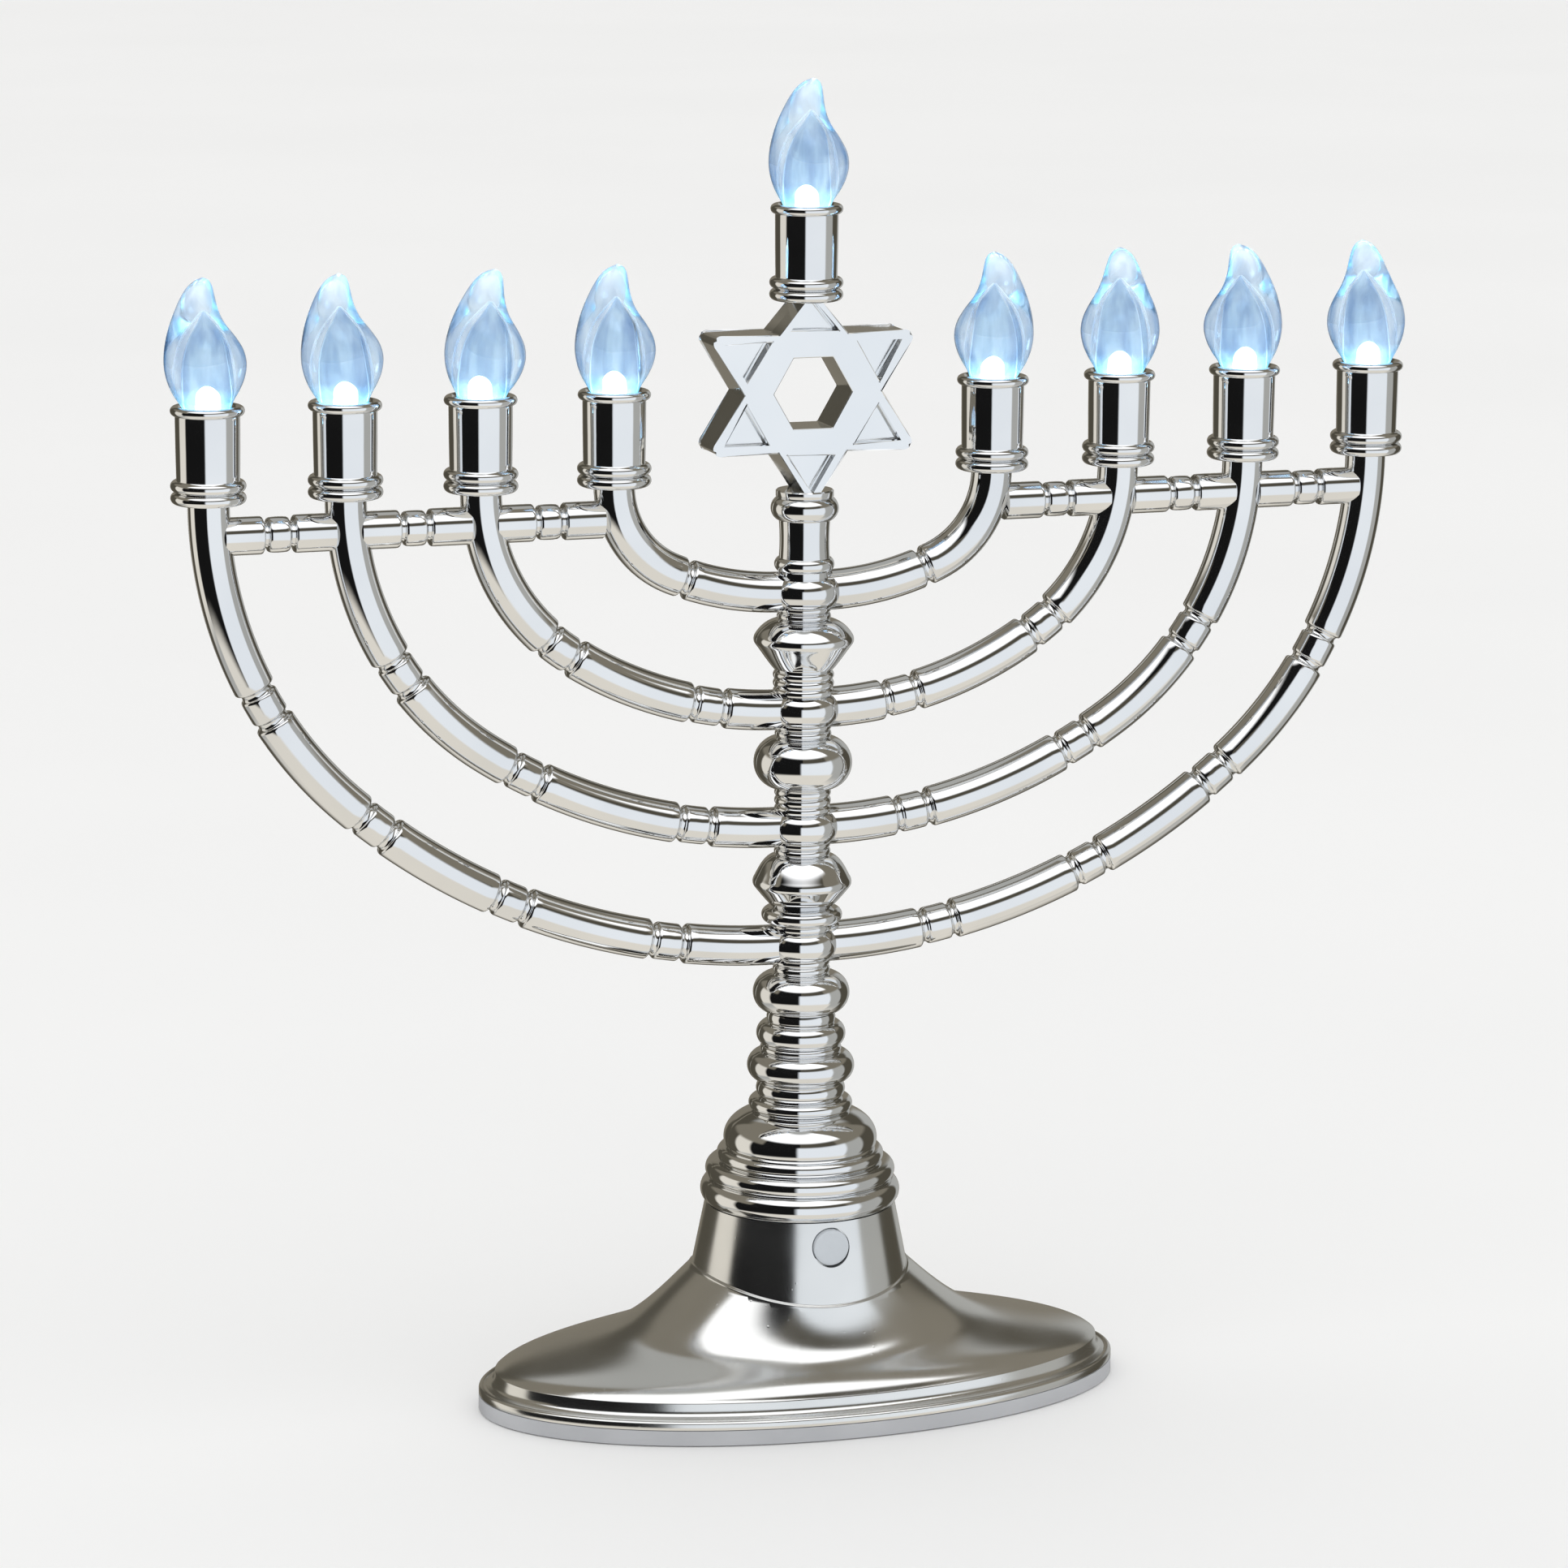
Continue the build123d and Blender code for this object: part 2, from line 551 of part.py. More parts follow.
def build_controls():
    """Push button and switch on an upright circuit board inside the neck."""
    axis = Pos(0, 0, BUTTON_HEIGHT) * Rot(90, 0, 0)
    board_y = -11.5
    face, skirt = 23.4, 19.4
    button = axis * (rod(BUTTON_RADIUS, skirt, face) + rod(5.4, skirt - 1.2, skirt) + rod(1.6, 16.6, skirt))
    save("push_button", button)
    save("circuit_board", block((-13, 13), (board_y, board_y + 1.2), (25, 48)))
    body = block((-3, 3), (board_y - 3.5, board_y), (BUTTON_HEIGHT - 3, BUTTON_HEIGHT + 3))
    save("tact_switch", body - axis * rod(1.75, 12.5, 16))
    save("switch_plunger", axis * rod(1.67, 14.0, 16.6))
    chip = block((-4, 4), (board_y + 1.2, board_y + 2.8), (30, 36))
    resistors = [block((x, x + 1.6), (board_y - 0.6, board_y), (28, 31.2)) for x in range(-11, 12, 3)]
    save("board_parts", Compound(children=[chip, *resistors]))


def build_fixings():
    screw = rod(2.6, 0.5, 1.3) + rod(1.1, 1.2, 8.2)
    screw -= block((-2, 2), (-0.3, 0.3), (0, 0.9)) + block((-0.3, 0.3), (-2, 2), (0, 0.9))
    save("base_screws", Compound(children=[Pos(x, y, 0) * screw for x, y in SCREW_SPOTS]))
    save("rubber_feet", Compound(children=[rod(4.9, 0, 1.2, x, y) for x, y in FOOT_SPOTS]))


def build_wiring():
    """Wires from the board up the shaft, out through each arm, and round the star's window."""
    wire = Circle(0.8)
    bundle = 2.3
    runs = [rod(bundle, 49.0, SHAFT_TOP - 2.5)]
    for index in range(ARM_COUNT):
        upper, lower = arm_arcs(index)
        lead = Pos(bundle + 0.1, 0, shaft_joint(index)) * extrude(Plane.YZ * wire, ARM_STUB - bundle - 0.1)
        tail = rod(0.8, CUP_BOTTOM, CUP_BOTTOM + 9.0, ARM_X[index])
        bends = [arc_tube(arc, wire, arc[3], arc[4]) for arc in (upper, lower)]
        for piece in (lead, *bends, tail):
            runs += both_sides(piece)
    side = (STAR_WINDOW + STAR_RADIUS / sqrt(3)) / 2
    route = Polyline(
        (0, 0, SHAFT_TOP - 2.4), (0, 0, STAR_HEIGHT - 16.2), (-side, 0, STAR_HEIGHT - 5.5),
        (-side, 0, STAR_HEIGHT + 5.5), (0, 0, STAR_HEIGHT + 16.2), (0, 0, CUP_BOTTOM + STAR_CUP_LIFT + 9),
    )
    runs.append(sweep(Plane(route @ 0, z_dir=route % 0) * wire, route, transition=Transition.RIGHT))
    save("wiring", Compound(children=runs))


shaft = build_shaft()
build_arms(shaft)
build_bars()
build_star()
build_lights()
build_base_cover()
build_base_plate()
build_door()
build_power()
build_controls()
build_fixings()
build_wiring()
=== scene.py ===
import bpy
from math import asin, atan2, copysign, cos, exp, hypot, pi, radians, sin, sqrt
from mathutils import Matrix, Vector


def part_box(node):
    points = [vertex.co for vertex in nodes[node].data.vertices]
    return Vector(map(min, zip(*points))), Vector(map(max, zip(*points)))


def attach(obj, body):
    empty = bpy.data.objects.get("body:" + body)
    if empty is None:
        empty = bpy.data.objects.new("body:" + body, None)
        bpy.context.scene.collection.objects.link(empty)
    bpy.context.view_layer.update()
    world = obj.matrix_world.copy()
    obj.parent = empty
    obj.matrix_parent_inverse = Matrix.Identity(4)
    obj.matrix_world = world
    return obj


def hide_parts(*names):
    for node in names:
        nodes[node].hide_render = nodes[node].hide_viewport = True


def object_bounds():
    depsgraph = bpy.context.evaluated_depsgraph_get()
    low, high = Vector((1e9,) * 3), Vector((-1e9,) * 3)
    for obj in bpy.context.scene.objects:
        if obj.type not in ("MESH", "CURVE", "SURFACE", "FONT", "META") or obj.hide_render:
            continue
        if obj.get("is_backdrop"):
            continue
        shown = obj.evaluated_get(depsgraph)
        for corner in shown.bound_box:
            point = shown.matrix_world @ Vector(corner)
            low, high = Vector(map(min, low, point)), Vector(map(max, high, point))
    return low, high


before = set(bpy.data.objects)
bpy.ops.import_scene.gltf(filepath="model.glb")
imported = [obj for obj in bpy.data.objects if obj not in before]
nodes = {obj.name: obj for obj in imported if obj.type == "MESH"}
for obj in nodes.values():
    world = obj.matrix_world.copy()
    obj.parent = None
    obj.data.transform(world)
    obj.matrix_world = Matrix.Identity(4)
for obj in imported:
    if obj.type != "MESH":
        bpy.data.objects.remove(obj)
cad_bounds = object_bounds()

# ---- sizes ---------------------------------------------------------------------------------
# Outlines are written in millimetres and scaled as the meshes are made.

MM = 0.001
ARM_COUNT = 4
UPPER_BEND = (22.5, 45.4, 71.4, 93.2)
UPPER_TURN = (67.0, 55.9, 56.4, 48.7)
BEADS = ((), (42.2, 80.3), (42.6, 80.7, 123.3), (47.8, 86.0, 123.0, 162.1))
LONE_GROOVE = 29.4
ARM_STUB = 5.0
ARM_RADIUS = 4.65
BEAD_RADIUS = 4.3
GROOVE_RADIUS = 3.55
BEAD_HALF = 2.9
GROOVE_WIDTH = 1.5
SEAM_DEPTH = 0.13

BAR_HEIGHT = 207.2
BAR_RADIUS = 4.25
BAR_NECK = 2.75
BAR_BEAD = 3.9

CUP_HEIGHT = 20.6
SPIGOT = 3.0
RIM_RADIUS = 7.1
RIM_TUBE = 1.1
FOOT_RING = 1.3

STAR_HEIGHT = 234.7
STAR_RADIUS = 26.8
STAR_HALF_DEPTH = 5.6
STAR_WINDOW = 9.25
PANEL_DEPTH = 2.4
STAR_WIDENING = 1.055
TIP_ROUND = 1.5

COLLAR_BOTTOM = 45.6
CORE_RADIUS = 5.7
RING_RADIUS = 8.4
RING_HALF = 3.15

NECK_TOP_RADIUS = 22.0
NECK_SLOPE = 0.2
FLARE_INNER = 24.0
LEDGE_TOP = 9.2
LEDGE_INSET = 3.9
PLATE_TOP = 3.7
NECK_STEP = 0.65
CREASE_FRONT = 27.0
CREASE_SIDE = 31.2

FLAME_TURN = (8, -18, -10, -18, -18, 140, 90, 152, 92)
FLAME_LEAN = (-3.0, -4.0, 5.0, 0.0, 1.0, 1.5, 0.0, -2.5, -3.5)


def node_middle(node):
    low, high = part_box(node)
    return [(low[axis] + high[axis]) / 2 / MM for axis in range(3)]


CUP_X = [node_middle(f"candle_cup_{n}")[0] for n in range(1, 10)]
CUP_BOTTOM = [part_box(f"candle_cup_{n}")[0][2] / MM + SPIGOT for n in range(1, 10)]
ARM_X = CUP_X[5:]
ARM_TOP = CUP_BOTTOM[0]
BASE_HALF_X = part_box("base_cover")[1][0] / MM
BASE_HALF_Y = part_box("base_cover")[1][1] / MM
SHAFT_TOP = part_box("shaft_front")[1][2] / MM


# ---- mesh helpers --------------------------------------------------------------------------


def curve_between(start, lead, trail, end, count):
    """Points along a smooth curve that leaves start towards lead and meets end from trail."""
    points = []
    for n in range(count + 1):
        t = n / count
        weights = ((1 - t) ** 3, 3 * t * (1 - t) ** 2, 3 * t * t * (1 - t), t**3)
        sums = [sum(w * p[k] for w, p in zip(weights, (start, lead, trail, end))) for k in range(2)]
        points.append(tuple(sums))
    return points


def bulge(low, high, root, out, count=12):
    """Rounded ring outline between two heights, as (radius, height) points."""
    half = (high - low) / 2
    rise = out - root
    radius = (half * half + rise * rise) / (2 * rise)
    reach = asin(min(1.0, half / radius))
    if rise > half:
        reach = pi - reach
    middle = (low + high) / 2
    points = []
    for n in range(count + 1):
        angle = -reach + 2 * reach * n / count
        points.append((out - radius + radius * cos(angle), middle + radius * sin(angle)))
    return points


def knob(low, rim, high, root, out):
    """Cone below a narrow rim, rounded shoulder above it."""
    cone = curve_between((root, low), (root + 1.2, low + 1.0), (out - 1.6, rim - 2.4), (out - 0.35, rim - 0.8), 14)
    turn = curve_between((out - 0.35, rim - 0.8), (out, rim - 0.3), (out, rim + 0.4), (out - 0.3, rim + 1.0), 8)
    shoulder = curve_between((out - 0.3, rim + 1.0), (out - 1.2, rim + 2.6), (root + 2.4, high - 0.5), (root, high), 14)
    return cone + turn[1:] + shoulder[1:]


def ribs(low, high, count, out):
    pitch = (high - low) / count
    points = []
    for n in range(count):
        points += bulge(low + pitch * n, low + pitch * (n + 1), out - 0.5, out, 8)
    return points


def make_object(name, points, faces, sharp_degrees=35.0):
    """Mesh object from millimetre points, smooth except across edges sharper than the angle."""
    mesh = bpy.data.meshes.new(name)
    mesh.from_pydata([Vector(p) * MM for p in points], [], faces)
    mesh.validate()
    mesh.update()
    mesh.polygons.foreach_set("use_smooth", [True] * len(mesh.polygons))
    mesh.set_sharp_from_angle(angle=radians(sharp_degrees))
    piece = bpy.data.objects.new(name, mesh)
    bpy.context.scene.collection.objects.link(piece)
    return piece


def grid_faces(rows, columns, wrap_rows, wrap_columns, first=0):
    """Quads over a grid of points stored row by row."""
    faces = []
    for r in range(rows if wrap_rows else rows - 1):
        for c in range(columns if wrap_columns else columns - 1):
            below, above = r * columns, (r + 1) % rows * columns
            side = (c + 1) % columns
            faces.append([first + v for v in (below + c, below + side, above + side, above + c)])
    return faces


def lathe(name, outline, columns=96, sharp_degrees=35.0, place=None):
    """Turned piece about the Z axis from an outline that starts and ends on the axis or closes."""
    points, faces = [], []
    for radius, z in outline:
        for c in range(columns):
            angle = 2 * pi * c / columns
            points.append(Vector((radius * cos(angle), radius * sin(angle), z)))
    faces = grid_faces(len(outline), columns, False, True)
    if place is not None:
        points = [place @ p for p in points]
    return make_object(name, points, faces, sharp_degrees)


def half_section(outline_at, stations, side, columns=28):
    """Half of a round section at each station, closed across the middle plane.

    outline_at(station, angle, inset) gives a point; angle runs 0 to 180 degrees around the front
    (side -1) or the rear (side 1) and inset pulls the seam's lips in.
    """
    lip = 0.035
    angles = [0.0] + [lip + (pi - 2 * lip) * n / columns for n in range(columns + 1)] + [pi]
    points = []
    for station in stations:
        for n, angle in enumerate(angles):
            inset = SEAM_DEPTH if n in (0, len(angles) - 1) else 0.0
            points.append(outline_at(station, side * angle, inset))
    faces = grid_faces(len(stations), len(angles), False, True)
    last = (len(stations) - 1) * len(angles)
    faces.append(list(range(len(angles))))
    faces.append([last + n for n in range(len(angles))])
    if side > 0:
        faces = [face[::-1] for face in faces]
    return points, faces


def merge(parts):
    """One point and face list from several."""
    points, faces = [], []
    for part_points, part_faces in parts:
        faces += [[len(points) + v for v in face] for face in part_faces]
        points += part_points
    return points, faces


def mirrored(part):
    points, faces = part
    return [Vector((-p[0], p[1], p[2])) for p in points], [face[::-1] for face in faces]


# ---- materials -----------------------------------------------------------------------------


class Shader:
    """Small wrapper that adds nodes to one material."""

    def __init__(self, name, colour, roughness, metallic=0.0, **inputs):
        self.material = bpy.data.materials.new(name)
        self.material.use_nodes = True
        self.tree = self.material.node_tree
        self.bsdf = self.tree.nodes["Principled BSDF"]
        self.bsdf.inputs["Base Color"].default_value = (*colour, 1.0)
        self.bsdf.inputs["Roughness"].default_value = roughness
        self.bsdf.inputs["Metallic"].default_value = metallic
        for key, value in inputs.items():
            self.bsdf.inputs[key.replace("_", " ")].default_value = value
        self.place = self.add("ShaderNodeTexCoord").outputs["Object"]

    def add(self, kind, **settings):
        node = self.tree.nodes.new(kind)
        for key, value in settings.items():
            if hasattr(node, key):
                setattr(node, key, value)
            else:
                node.inputs[key.replace("_", " ")].default_value = value
        return node

    def link(self, output, target):
        self.tree.links.new(output, target)

    def noise(self, scale, detail=3.0, roughness=0.5):
        node = self.add("ShaderNodeTexNoise", Scale=scale, Detail=detail, Roughness=roughness)
        self.link(self.place, node.inputs["Vector"])
        return node.outputs["Fac"]

    def ramp(self, factor, low, high, from_low=0.35, from_high=0.65):
        """Value that runs from low to high as the factor crosses its middle range."""
        node = self.add("ShaderNodeMapRange")
        for key, value in (("From Min", from_low), ("From Max", from_high), ("To Min", low), ("To Max", high)):
            node.inputs[key].default_value = value
        self.link(factor, node.inputs["Value"])
        return node.outputs["Result"]

    def vary_roughness(self, scale, low, high):
        self.link(self.ramp(self.noise(scale), low, high), self.bsdf.inputs["Roughness"])

    def vary_colour(self, scale, first, second):
        mix = self.add("ShaderNodeMix", data_type="RGBA")
        mix.inputs["A"].default_value = (*first, 1.0)
        mix.inputs["B"].default_value = (*second, 1.0)
        colours = [s for s in mix.inputs if s.type == "RGBA"]
        colours[0].default_value = (*first, 1.0)
        colours[1].default_value = (*second, 1.0)
        self.link(self.ramp(self.noise(scale), 0.0, 1.0), mix.inputs["Factor"])
        output = [s for s in mix.outputs if s.type == "RGBA"][0]
        self.link(output, self.bsdf.inputs["Base Color"])

    def bump(self, height, distance, strength=1.0):
        node = self.add("ShaderNodeBump")
        node.inputs["Strength"].default_value = strength
        node.inputs["Distance"].default_value = distance
        self.link(height, node.inputs["Height"])
        self.link(node.outputs["Normal"], self.bsdf.inputs["Normal"])


def chrome_material():
    """Vacuum-metallised plastic: a mirror with the faint ripple of the moulding under it."""
    shader = Shader("bright_chrome", (0.86, 0.87, 0.88), 0.03, 1.0)
    shader.vary_colour(35.0, (0.83, 0.84, 0.855), (0.89, 0.895, 0.90))
    shader.vary_roughness(60.0, 0.02, 0.055)
    shader.bump(shader.noise(220.0, 2.0), 0.00004, 0.18)
    return shader.material


def base_chrome_material():
    """The base's plating is a little softer, with dust specks caught under it."""
    shader = Shader("base_chrome", (0.84, 0.845, 0.84), 0.07, 1.0)
    shader.vary_colour(28.0, (0.80, 0.805, 0.80), (0.88, 0.88, 0.87))
    shader.vary_roughness(45.0, 0.13, 0.2)
    voronoi = shader.add("ShaderNodeTexVoronoi", Scale=420.0)
    shader.link(shader.place, voronoi.inputs["Vector"])
    specks = shader.ramp(voronoi.outputs["Distance"], 1.0, 0.0, 0.0, 0.12)
    ripple = shader.noise(90.0, 3.0)
    total = shader.add("ShaderNodeMath", operation="ADD")
    shader.link(specks, total.inputs[0])
    shader.link(ripple, total.inputs[1])
    shader.bump(total.outputs["Value"], 0.00006, 0.25)
    return shader.material


def star_material():
    shader = Shader("star_chrome", (0.90, 0.915, 0.93), 0.12, 1.0)
    shader.vary_colour(30.0, (0.88, 0.90, 0.92), (0.93, 0.94, 0.95))
    shader.vary_roughness(50.0, 0.08, 0.16)
    shader.bump(shader.noise(160.0, 2.0), 0.00004, 0.15)
    return shader.material


def plastic_material(name, first, second, roughness=0.45, grain=900.0, depth=0.00005):
    """Moulded plastic with a fine spark-eroded grain."""
    shader = Shader(name, first, roughness)
    shader.vary_colour(40.0, first, second)
    shader.vary_roughness(70.0, roughness - 0.08, roughness + 0.08)
    shader.bump(shader.noise(grain, 4.0), depth, 0.35)
    return shader.material


def metal_material(name, colour, roughness):
    shader = Shader(name, colour, roughness, 1.0)
    shader.vary_colour(120.0, colour, [0.85 * c for c in colour])
    shader.vary_roughness(200.0, roughness - 0.08, roughness + 0.1)
    shader.bump(shader.noise(1500.0, 2.0), 0.00003, 0.2)
    return shader.material


def lens_material(name, rim):
    """Blue-tinted acrylic, deeper at its thick sides, with a painted cyan glow over the light and a painted white
    highlight at its tip.
    """
    shader = Shader(name, (0.80, 0.92, 1.0), 0.08, Transmission_Weight=0.86, IOR=1.45,
                    Specular_IOR_Level=0.9)
    weight = shader.add("ShaderNodeLayerWeight", Blend=0.46)
    mix = shader.add("ShaderNodeMix", data_type="RGBA")
    colours = [s for s in mix.inputs if s.type == "RGBA"]
    colours[0].default_value = (0.74, 0.87, 0.97, 1.0)
    colours[1].default_value = (0.04, 0.19, 0.50, 1.0)
    stretch = shader.add("ShaderNodeMapping")
    stretch.inputs["Scale"].default_value = (1.0, 1.0, 0.22)
    shader.link(shader.place, stretch.inputs["Vector"])
    streak = shader.add("ShaderNodeTexNoise", Scale=320.0, Detail=2.0, Roughness=0.5)
    shader.link(stretch.outputs["Vector"], streak.inputs["Vector"])
    factor = shader.add("ShaderNodeMath", operation="ADD", use_clamp=True)
    edge = shader.add("ShaderNodeMath", operation="POWER")
    edge.inputs[1].default_value = 1.25
    shader.link(weight.outputs["Facing"], edge.inputs[0])
    shader.link(edge.outputs[0], factor.inputs[0])
    shader.link(shader.ramp(streak.outputs["Fac"], -0.20, 0.34), factor.inputs[1])
    shader.link(factor.outputs[0], mix.inputs["Factor"])
    shader.link([s for s in mix.outputs if s.type == "RGBA"][0], shader.bsdf.inputs["Base Color"])
    shader.vary_roughness(80.0, 0.03, 0.09)
    shader.bump(shader.noise(90.0, 1.5), 0.0002, 0.10)
    split = shader.add("ShaderNodeSeparateXYZ")
    shader.link(shader.place, split.inputs[0])
    height = shader.ramp(split.outputs["Z"], 0.0, 1.0, rim * MM, (rim + 29.0) * MM)
    # Emission by height paints light: a cyan glow from the diode near the foot and a white highlight at the tip.
    painted_glows = (
        ("Emission Color", (((0.0, (0.25, 0.80, 1.0)), (0.35, (0.45, 0.75, 1.0)), (0.8, (0.90, 0.97, 1.0))))),
        ("Emission Strength", ((0.0, (0.8,) * 3), (0.08, (0.3,) * 3), (0.2, (0.03,) * 3), (0.6, (0.0,) * 3),
                               (0.85, (0.10,) * 3), (1.0, (0.25,) * 3))),
    )
    for socket, stops in painted_glows:
        ramp = shader.add("ShaderNodeValToRGB")
        while len(ramp.color_ramp.elements) < len(stops):
            ramp.color_ramp.elements.new(0.5)
        for element, (position, colour) in zip(ramp.color_ramp.elements, stops):
            element.position = position
            element.color = (*colour, 1.0)
        shader.link(height, ramp.inputs["Fac"])
        shader.link(ramp.outputs["Color"], shader.bsdf.inputs[socket])
    return shader.material


def ridge_highlight_material():
    """Glowing tubes along the cavity's corners: a painted highlight for the white lines of light those corners catch.
    """
    shader = Shader("painted_ridge_highlight", (0.92, 0.97, 1.0), 0.35, Emission_Strength=0.35)
    shader.bsdf.inputs["Emission Color"].default_value = (0.93, 0.98, 1.0, 1.0)
    shader.vary_colour(160.0, (0.80, 0.91, 1.0), (1.0, 1.0, 1.0))
    return shader.material


def light_material():
    """Lit diffused dome, its glow mixed from cyan to white in random patches."""
    shader = Shader("lit_diode", (0.92, 0.97, 1.0), 0.3, Emission_Strength=6.0)
    glow = shader.add("ShaderNodeMix", data_type="RGBA")
    colours = [s for s in glow.inputs if s.type == "RGBA"]
    colours[0].default_value = (0.62, 0.88, 1.0, 1.0)
    colours[1].default_value = (1.0, 1.0, 1.0, 1.0)
    shader.link(shader.ramp(shader.noise(300.0), 0.3, 1.0), glow.inputs["Factor"])
    shader.link([s for s in glow.outputs if s.type == "RGBA"][0], shader.bsdf.inputs["Emission Color"])
    return shader.material


MATERIALS = {
    "chrome": chrome_material(),
    "base_chrome": base_chrome_material(),
    "star": star_material(),
    "tray": plastic_material("tray_plastic", (0.46, 0.47, 0.49), (0.52, 0.53, 0.55), 0.42),
    "button": plastic_material("button_plastic", (0.56, 0.60, 0.64), (0.62, 0.66, 0.70), 0.38, 1200.0),
    "black": plastic_material("black_plastic", (0.02, 0.02, 0.02), (0.035, 0.035, 0.035)),
    "board": plastic_material("solder_mask", (0.01, 0.10, 0.03), (0.02, 0.14, 0.05), 0.3, 500.0),
    "rubber": plastic_material("rubber_pad", (0.035, 0.035, 0.035), (0.06, 0.06, 0.06), 0.75, 700.0, 0.0001),
    "wire": plastic_material("wire_sleeve", (0.45, 0.03, 0.02), (0.55, 0.05, 0.03), 0.5),
    "cells": metal_material("cell_wrapper", (0.30, 0.31, 0.33), 0.35),
    "steel": metal_material("plated_steel", (0.62, 0.61, 0.58), 0.3),
    "lens": lens_material("flame_acrylic", CUP_BOTTOM[0] + CUP_HEIGHT),
    "middle_lens": lens_material("middle_flame_acrylic", CUP_BOTTOM[4] + CUP_HEIGHT),
    "ridge_highlight": ridge_highlight_material(),
    "light": light_material(),
}


def finish_piece(piece, material, body, slot, *stands_for):
    piece.data.materials.append(MATERIALS[material])
    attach(piece, body)
    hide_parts(*stands_for)
    return piece


# ---- arms and link bars --------------------------------------------------------------------


def arm_arcs(index):
    """Upper and lower arc of an arm: (centre x, centre z, radius, start, end)."""
    x, upper, turn = ARM_X[index], UPPER_BEND[index], radians(UPPER_TURN[index])
    lower = (x - upper - ARM_STUB) / cos(turn) + upper
    return (x - upper, ARM_TOP, upper, 0.0, turn), (
        ARM_STUB, ARM_TOP + (lower - upper) * sin(turn), lower, turn, pi / 2,
    )


def shaft_joint(index):
    _, (_, centre_z, radius, _, _) = arm_arcs(index)
    return centre_z - radius


def arm_point(index, distance):
    """Place and outward direction at a distance down the arm from its cup."""
    for centre_x, centre_z, radius, start, end in arm_arcs(index):
        length = (end - start) * radius
        if distance <= length:
            angle = start + distance / radius
            outward = Vector((cos(angle), 0, -sin(angle)))
            return Vector((centre_x, 0, centre_z)) + radius * outward, outward
        distance -= length
    return Vector((ARM_STUB - distance, 0, shaft_joint(index))), Vector((0, 0, -1))


def arm_stations(index):
    """(distance, radius) pairs: long rounded segments parted by grooves and beads."""
    length = sum((end - start) * radius for _, _, radius, start, end in arm_arcs(index)) + ARM_STUB
    stations = []

    def segment(start, end, radius, drop):
        soft = 0.7
        for n in range(5):
            angle = pi / 2 * n / 4
            stations.append((start + soft * (1 - cos(angle)), radius - drop * (1 - sin(angle))))
        steps = max(1, round((end - start - 2 * soft) / 1.6))
        for n in range(1, steps):
            stations.append((start + soft + (end - start - 2 * soft) * n / steps, radius))
        for n in range(4, -1, -1):
            angle = pi / 2 * n / 4
            stations.append((end - soft * (1 - cos(angle)), radius - drop * (1 - sin(angle))))

    def groove(start, end):
        for n in range(1, 6):
            t = n / 6
            stations.append((start + (end - start) * t, GROOVE_RADIUS + 1.1 * (t - 0.5) ** 2))

    reached = -1.0
    spots = BEADS[index] or (LONE_GROOVE,)
    for spot in spots:
        if BEADS[index]:
            inner, outer = spot - BEAD_HALF, spot + BEAD_HALF
            segment(reached, inner - GROOVE_WIDTH, ARM_RADIUS, 0.75)
            groove(inner - GROOVE_WIDTH, inner)
            segment(inner, outer, BEAD_RADIUS, 0.5)
            groove(outer, outer + GROOVE_WIDTH)
            reached = outer + GROOVE_WIDTH
        else:
            segment(reached, spot - GROOVE_WIDTH / 2, ARM_RADIUS, 0.75)
            groove(spot - GROOVE_WIDTH / 2, spot + GROOVE_WIDTH / 2)
            reached = spot + GROOVE_WIDTH / 2
    segment(reached, length, ARM_RADIUS, 0.75)
    return stations


def build_arms():
    for index in range(ARM_COUNT):

        def outline_at(station, angle, inset):
            distance, radius = station
            place, outward = arm_point(index, max(0.0, distance))
            if distance < 0:
                place = place + Vector((0, 0, -distance))
            return place + (radius - inset) * (cos(angle) * outward + sin(angle) * Vector((0, 1, 0)))

        for side, half in ((-1, "front"), (1, "rear")):
            right = half_section(outline_at, arm_stations(index), side)
            node = f"arm_{index + 1}_{half}"
            piece = make_object(f"plated_{node}", *merge([right, mirrored(right)]), sharp_degrees=60.0)
            finish_piece(piece, "chrome", "stand", "plated_frame", node)


def build_bars():
    """Link bars: reel, bead and reel between neighbouring arms."""
    half_length = 31.0 / 2 - 3.0
    reel = [(half_length, BAR_RADIUS), (4.4, BAR_RADIUS)]
    reel += [(4.1 - 0.6 * sin(a), BAR_RADIUS - 0.6 * (1 - cos(a)) - 0.0) for a in (0.4, 0.8, 1.2, pi / 2)]
    reel += [(3.35, BAR_NECK + 0.1), (3.0, BAR_NECK), (2.65, BAR_NECK + 0.1)]
    reel += [(2.45, BAR_BEAD - 0.5), (2.3, BAR_BEAD - 0.2), (1.9, BAR_BEAD), (1.0, BAR_BEAD + 0.08)]
    stations = reel + [(0.0, BAR_BEAD + 0.1)] + [(-x, radius) for x, radius in reversed(reel)]
    for side, half in ((-1, "front"), (1, "rear")):
        parts = []
        for index in range(ARM_COUNT - 1):
            middle = (ARM_X[index] + ARM_X[index + 1]) / 2

            def outline_at(station, angle, inset):
                x, radius = station
                reach = radius - inset
                return Vector((middle + x, reach * sin(angle), BAR_HEIGHT - reach * cos(angle)))

            right = half_section(outline_at, stations, side)
            parts += [right, mirrored(right)]
        piece = make_object(f"plated_link_bars_{half}", *merge(parts), sharp_degrees=50.0)
        finish_piece(piece, "chrome", "stand", "plated_frame", f"link_bars_{half}")


# ---- shaft ---------------------------------------------------------------------------------


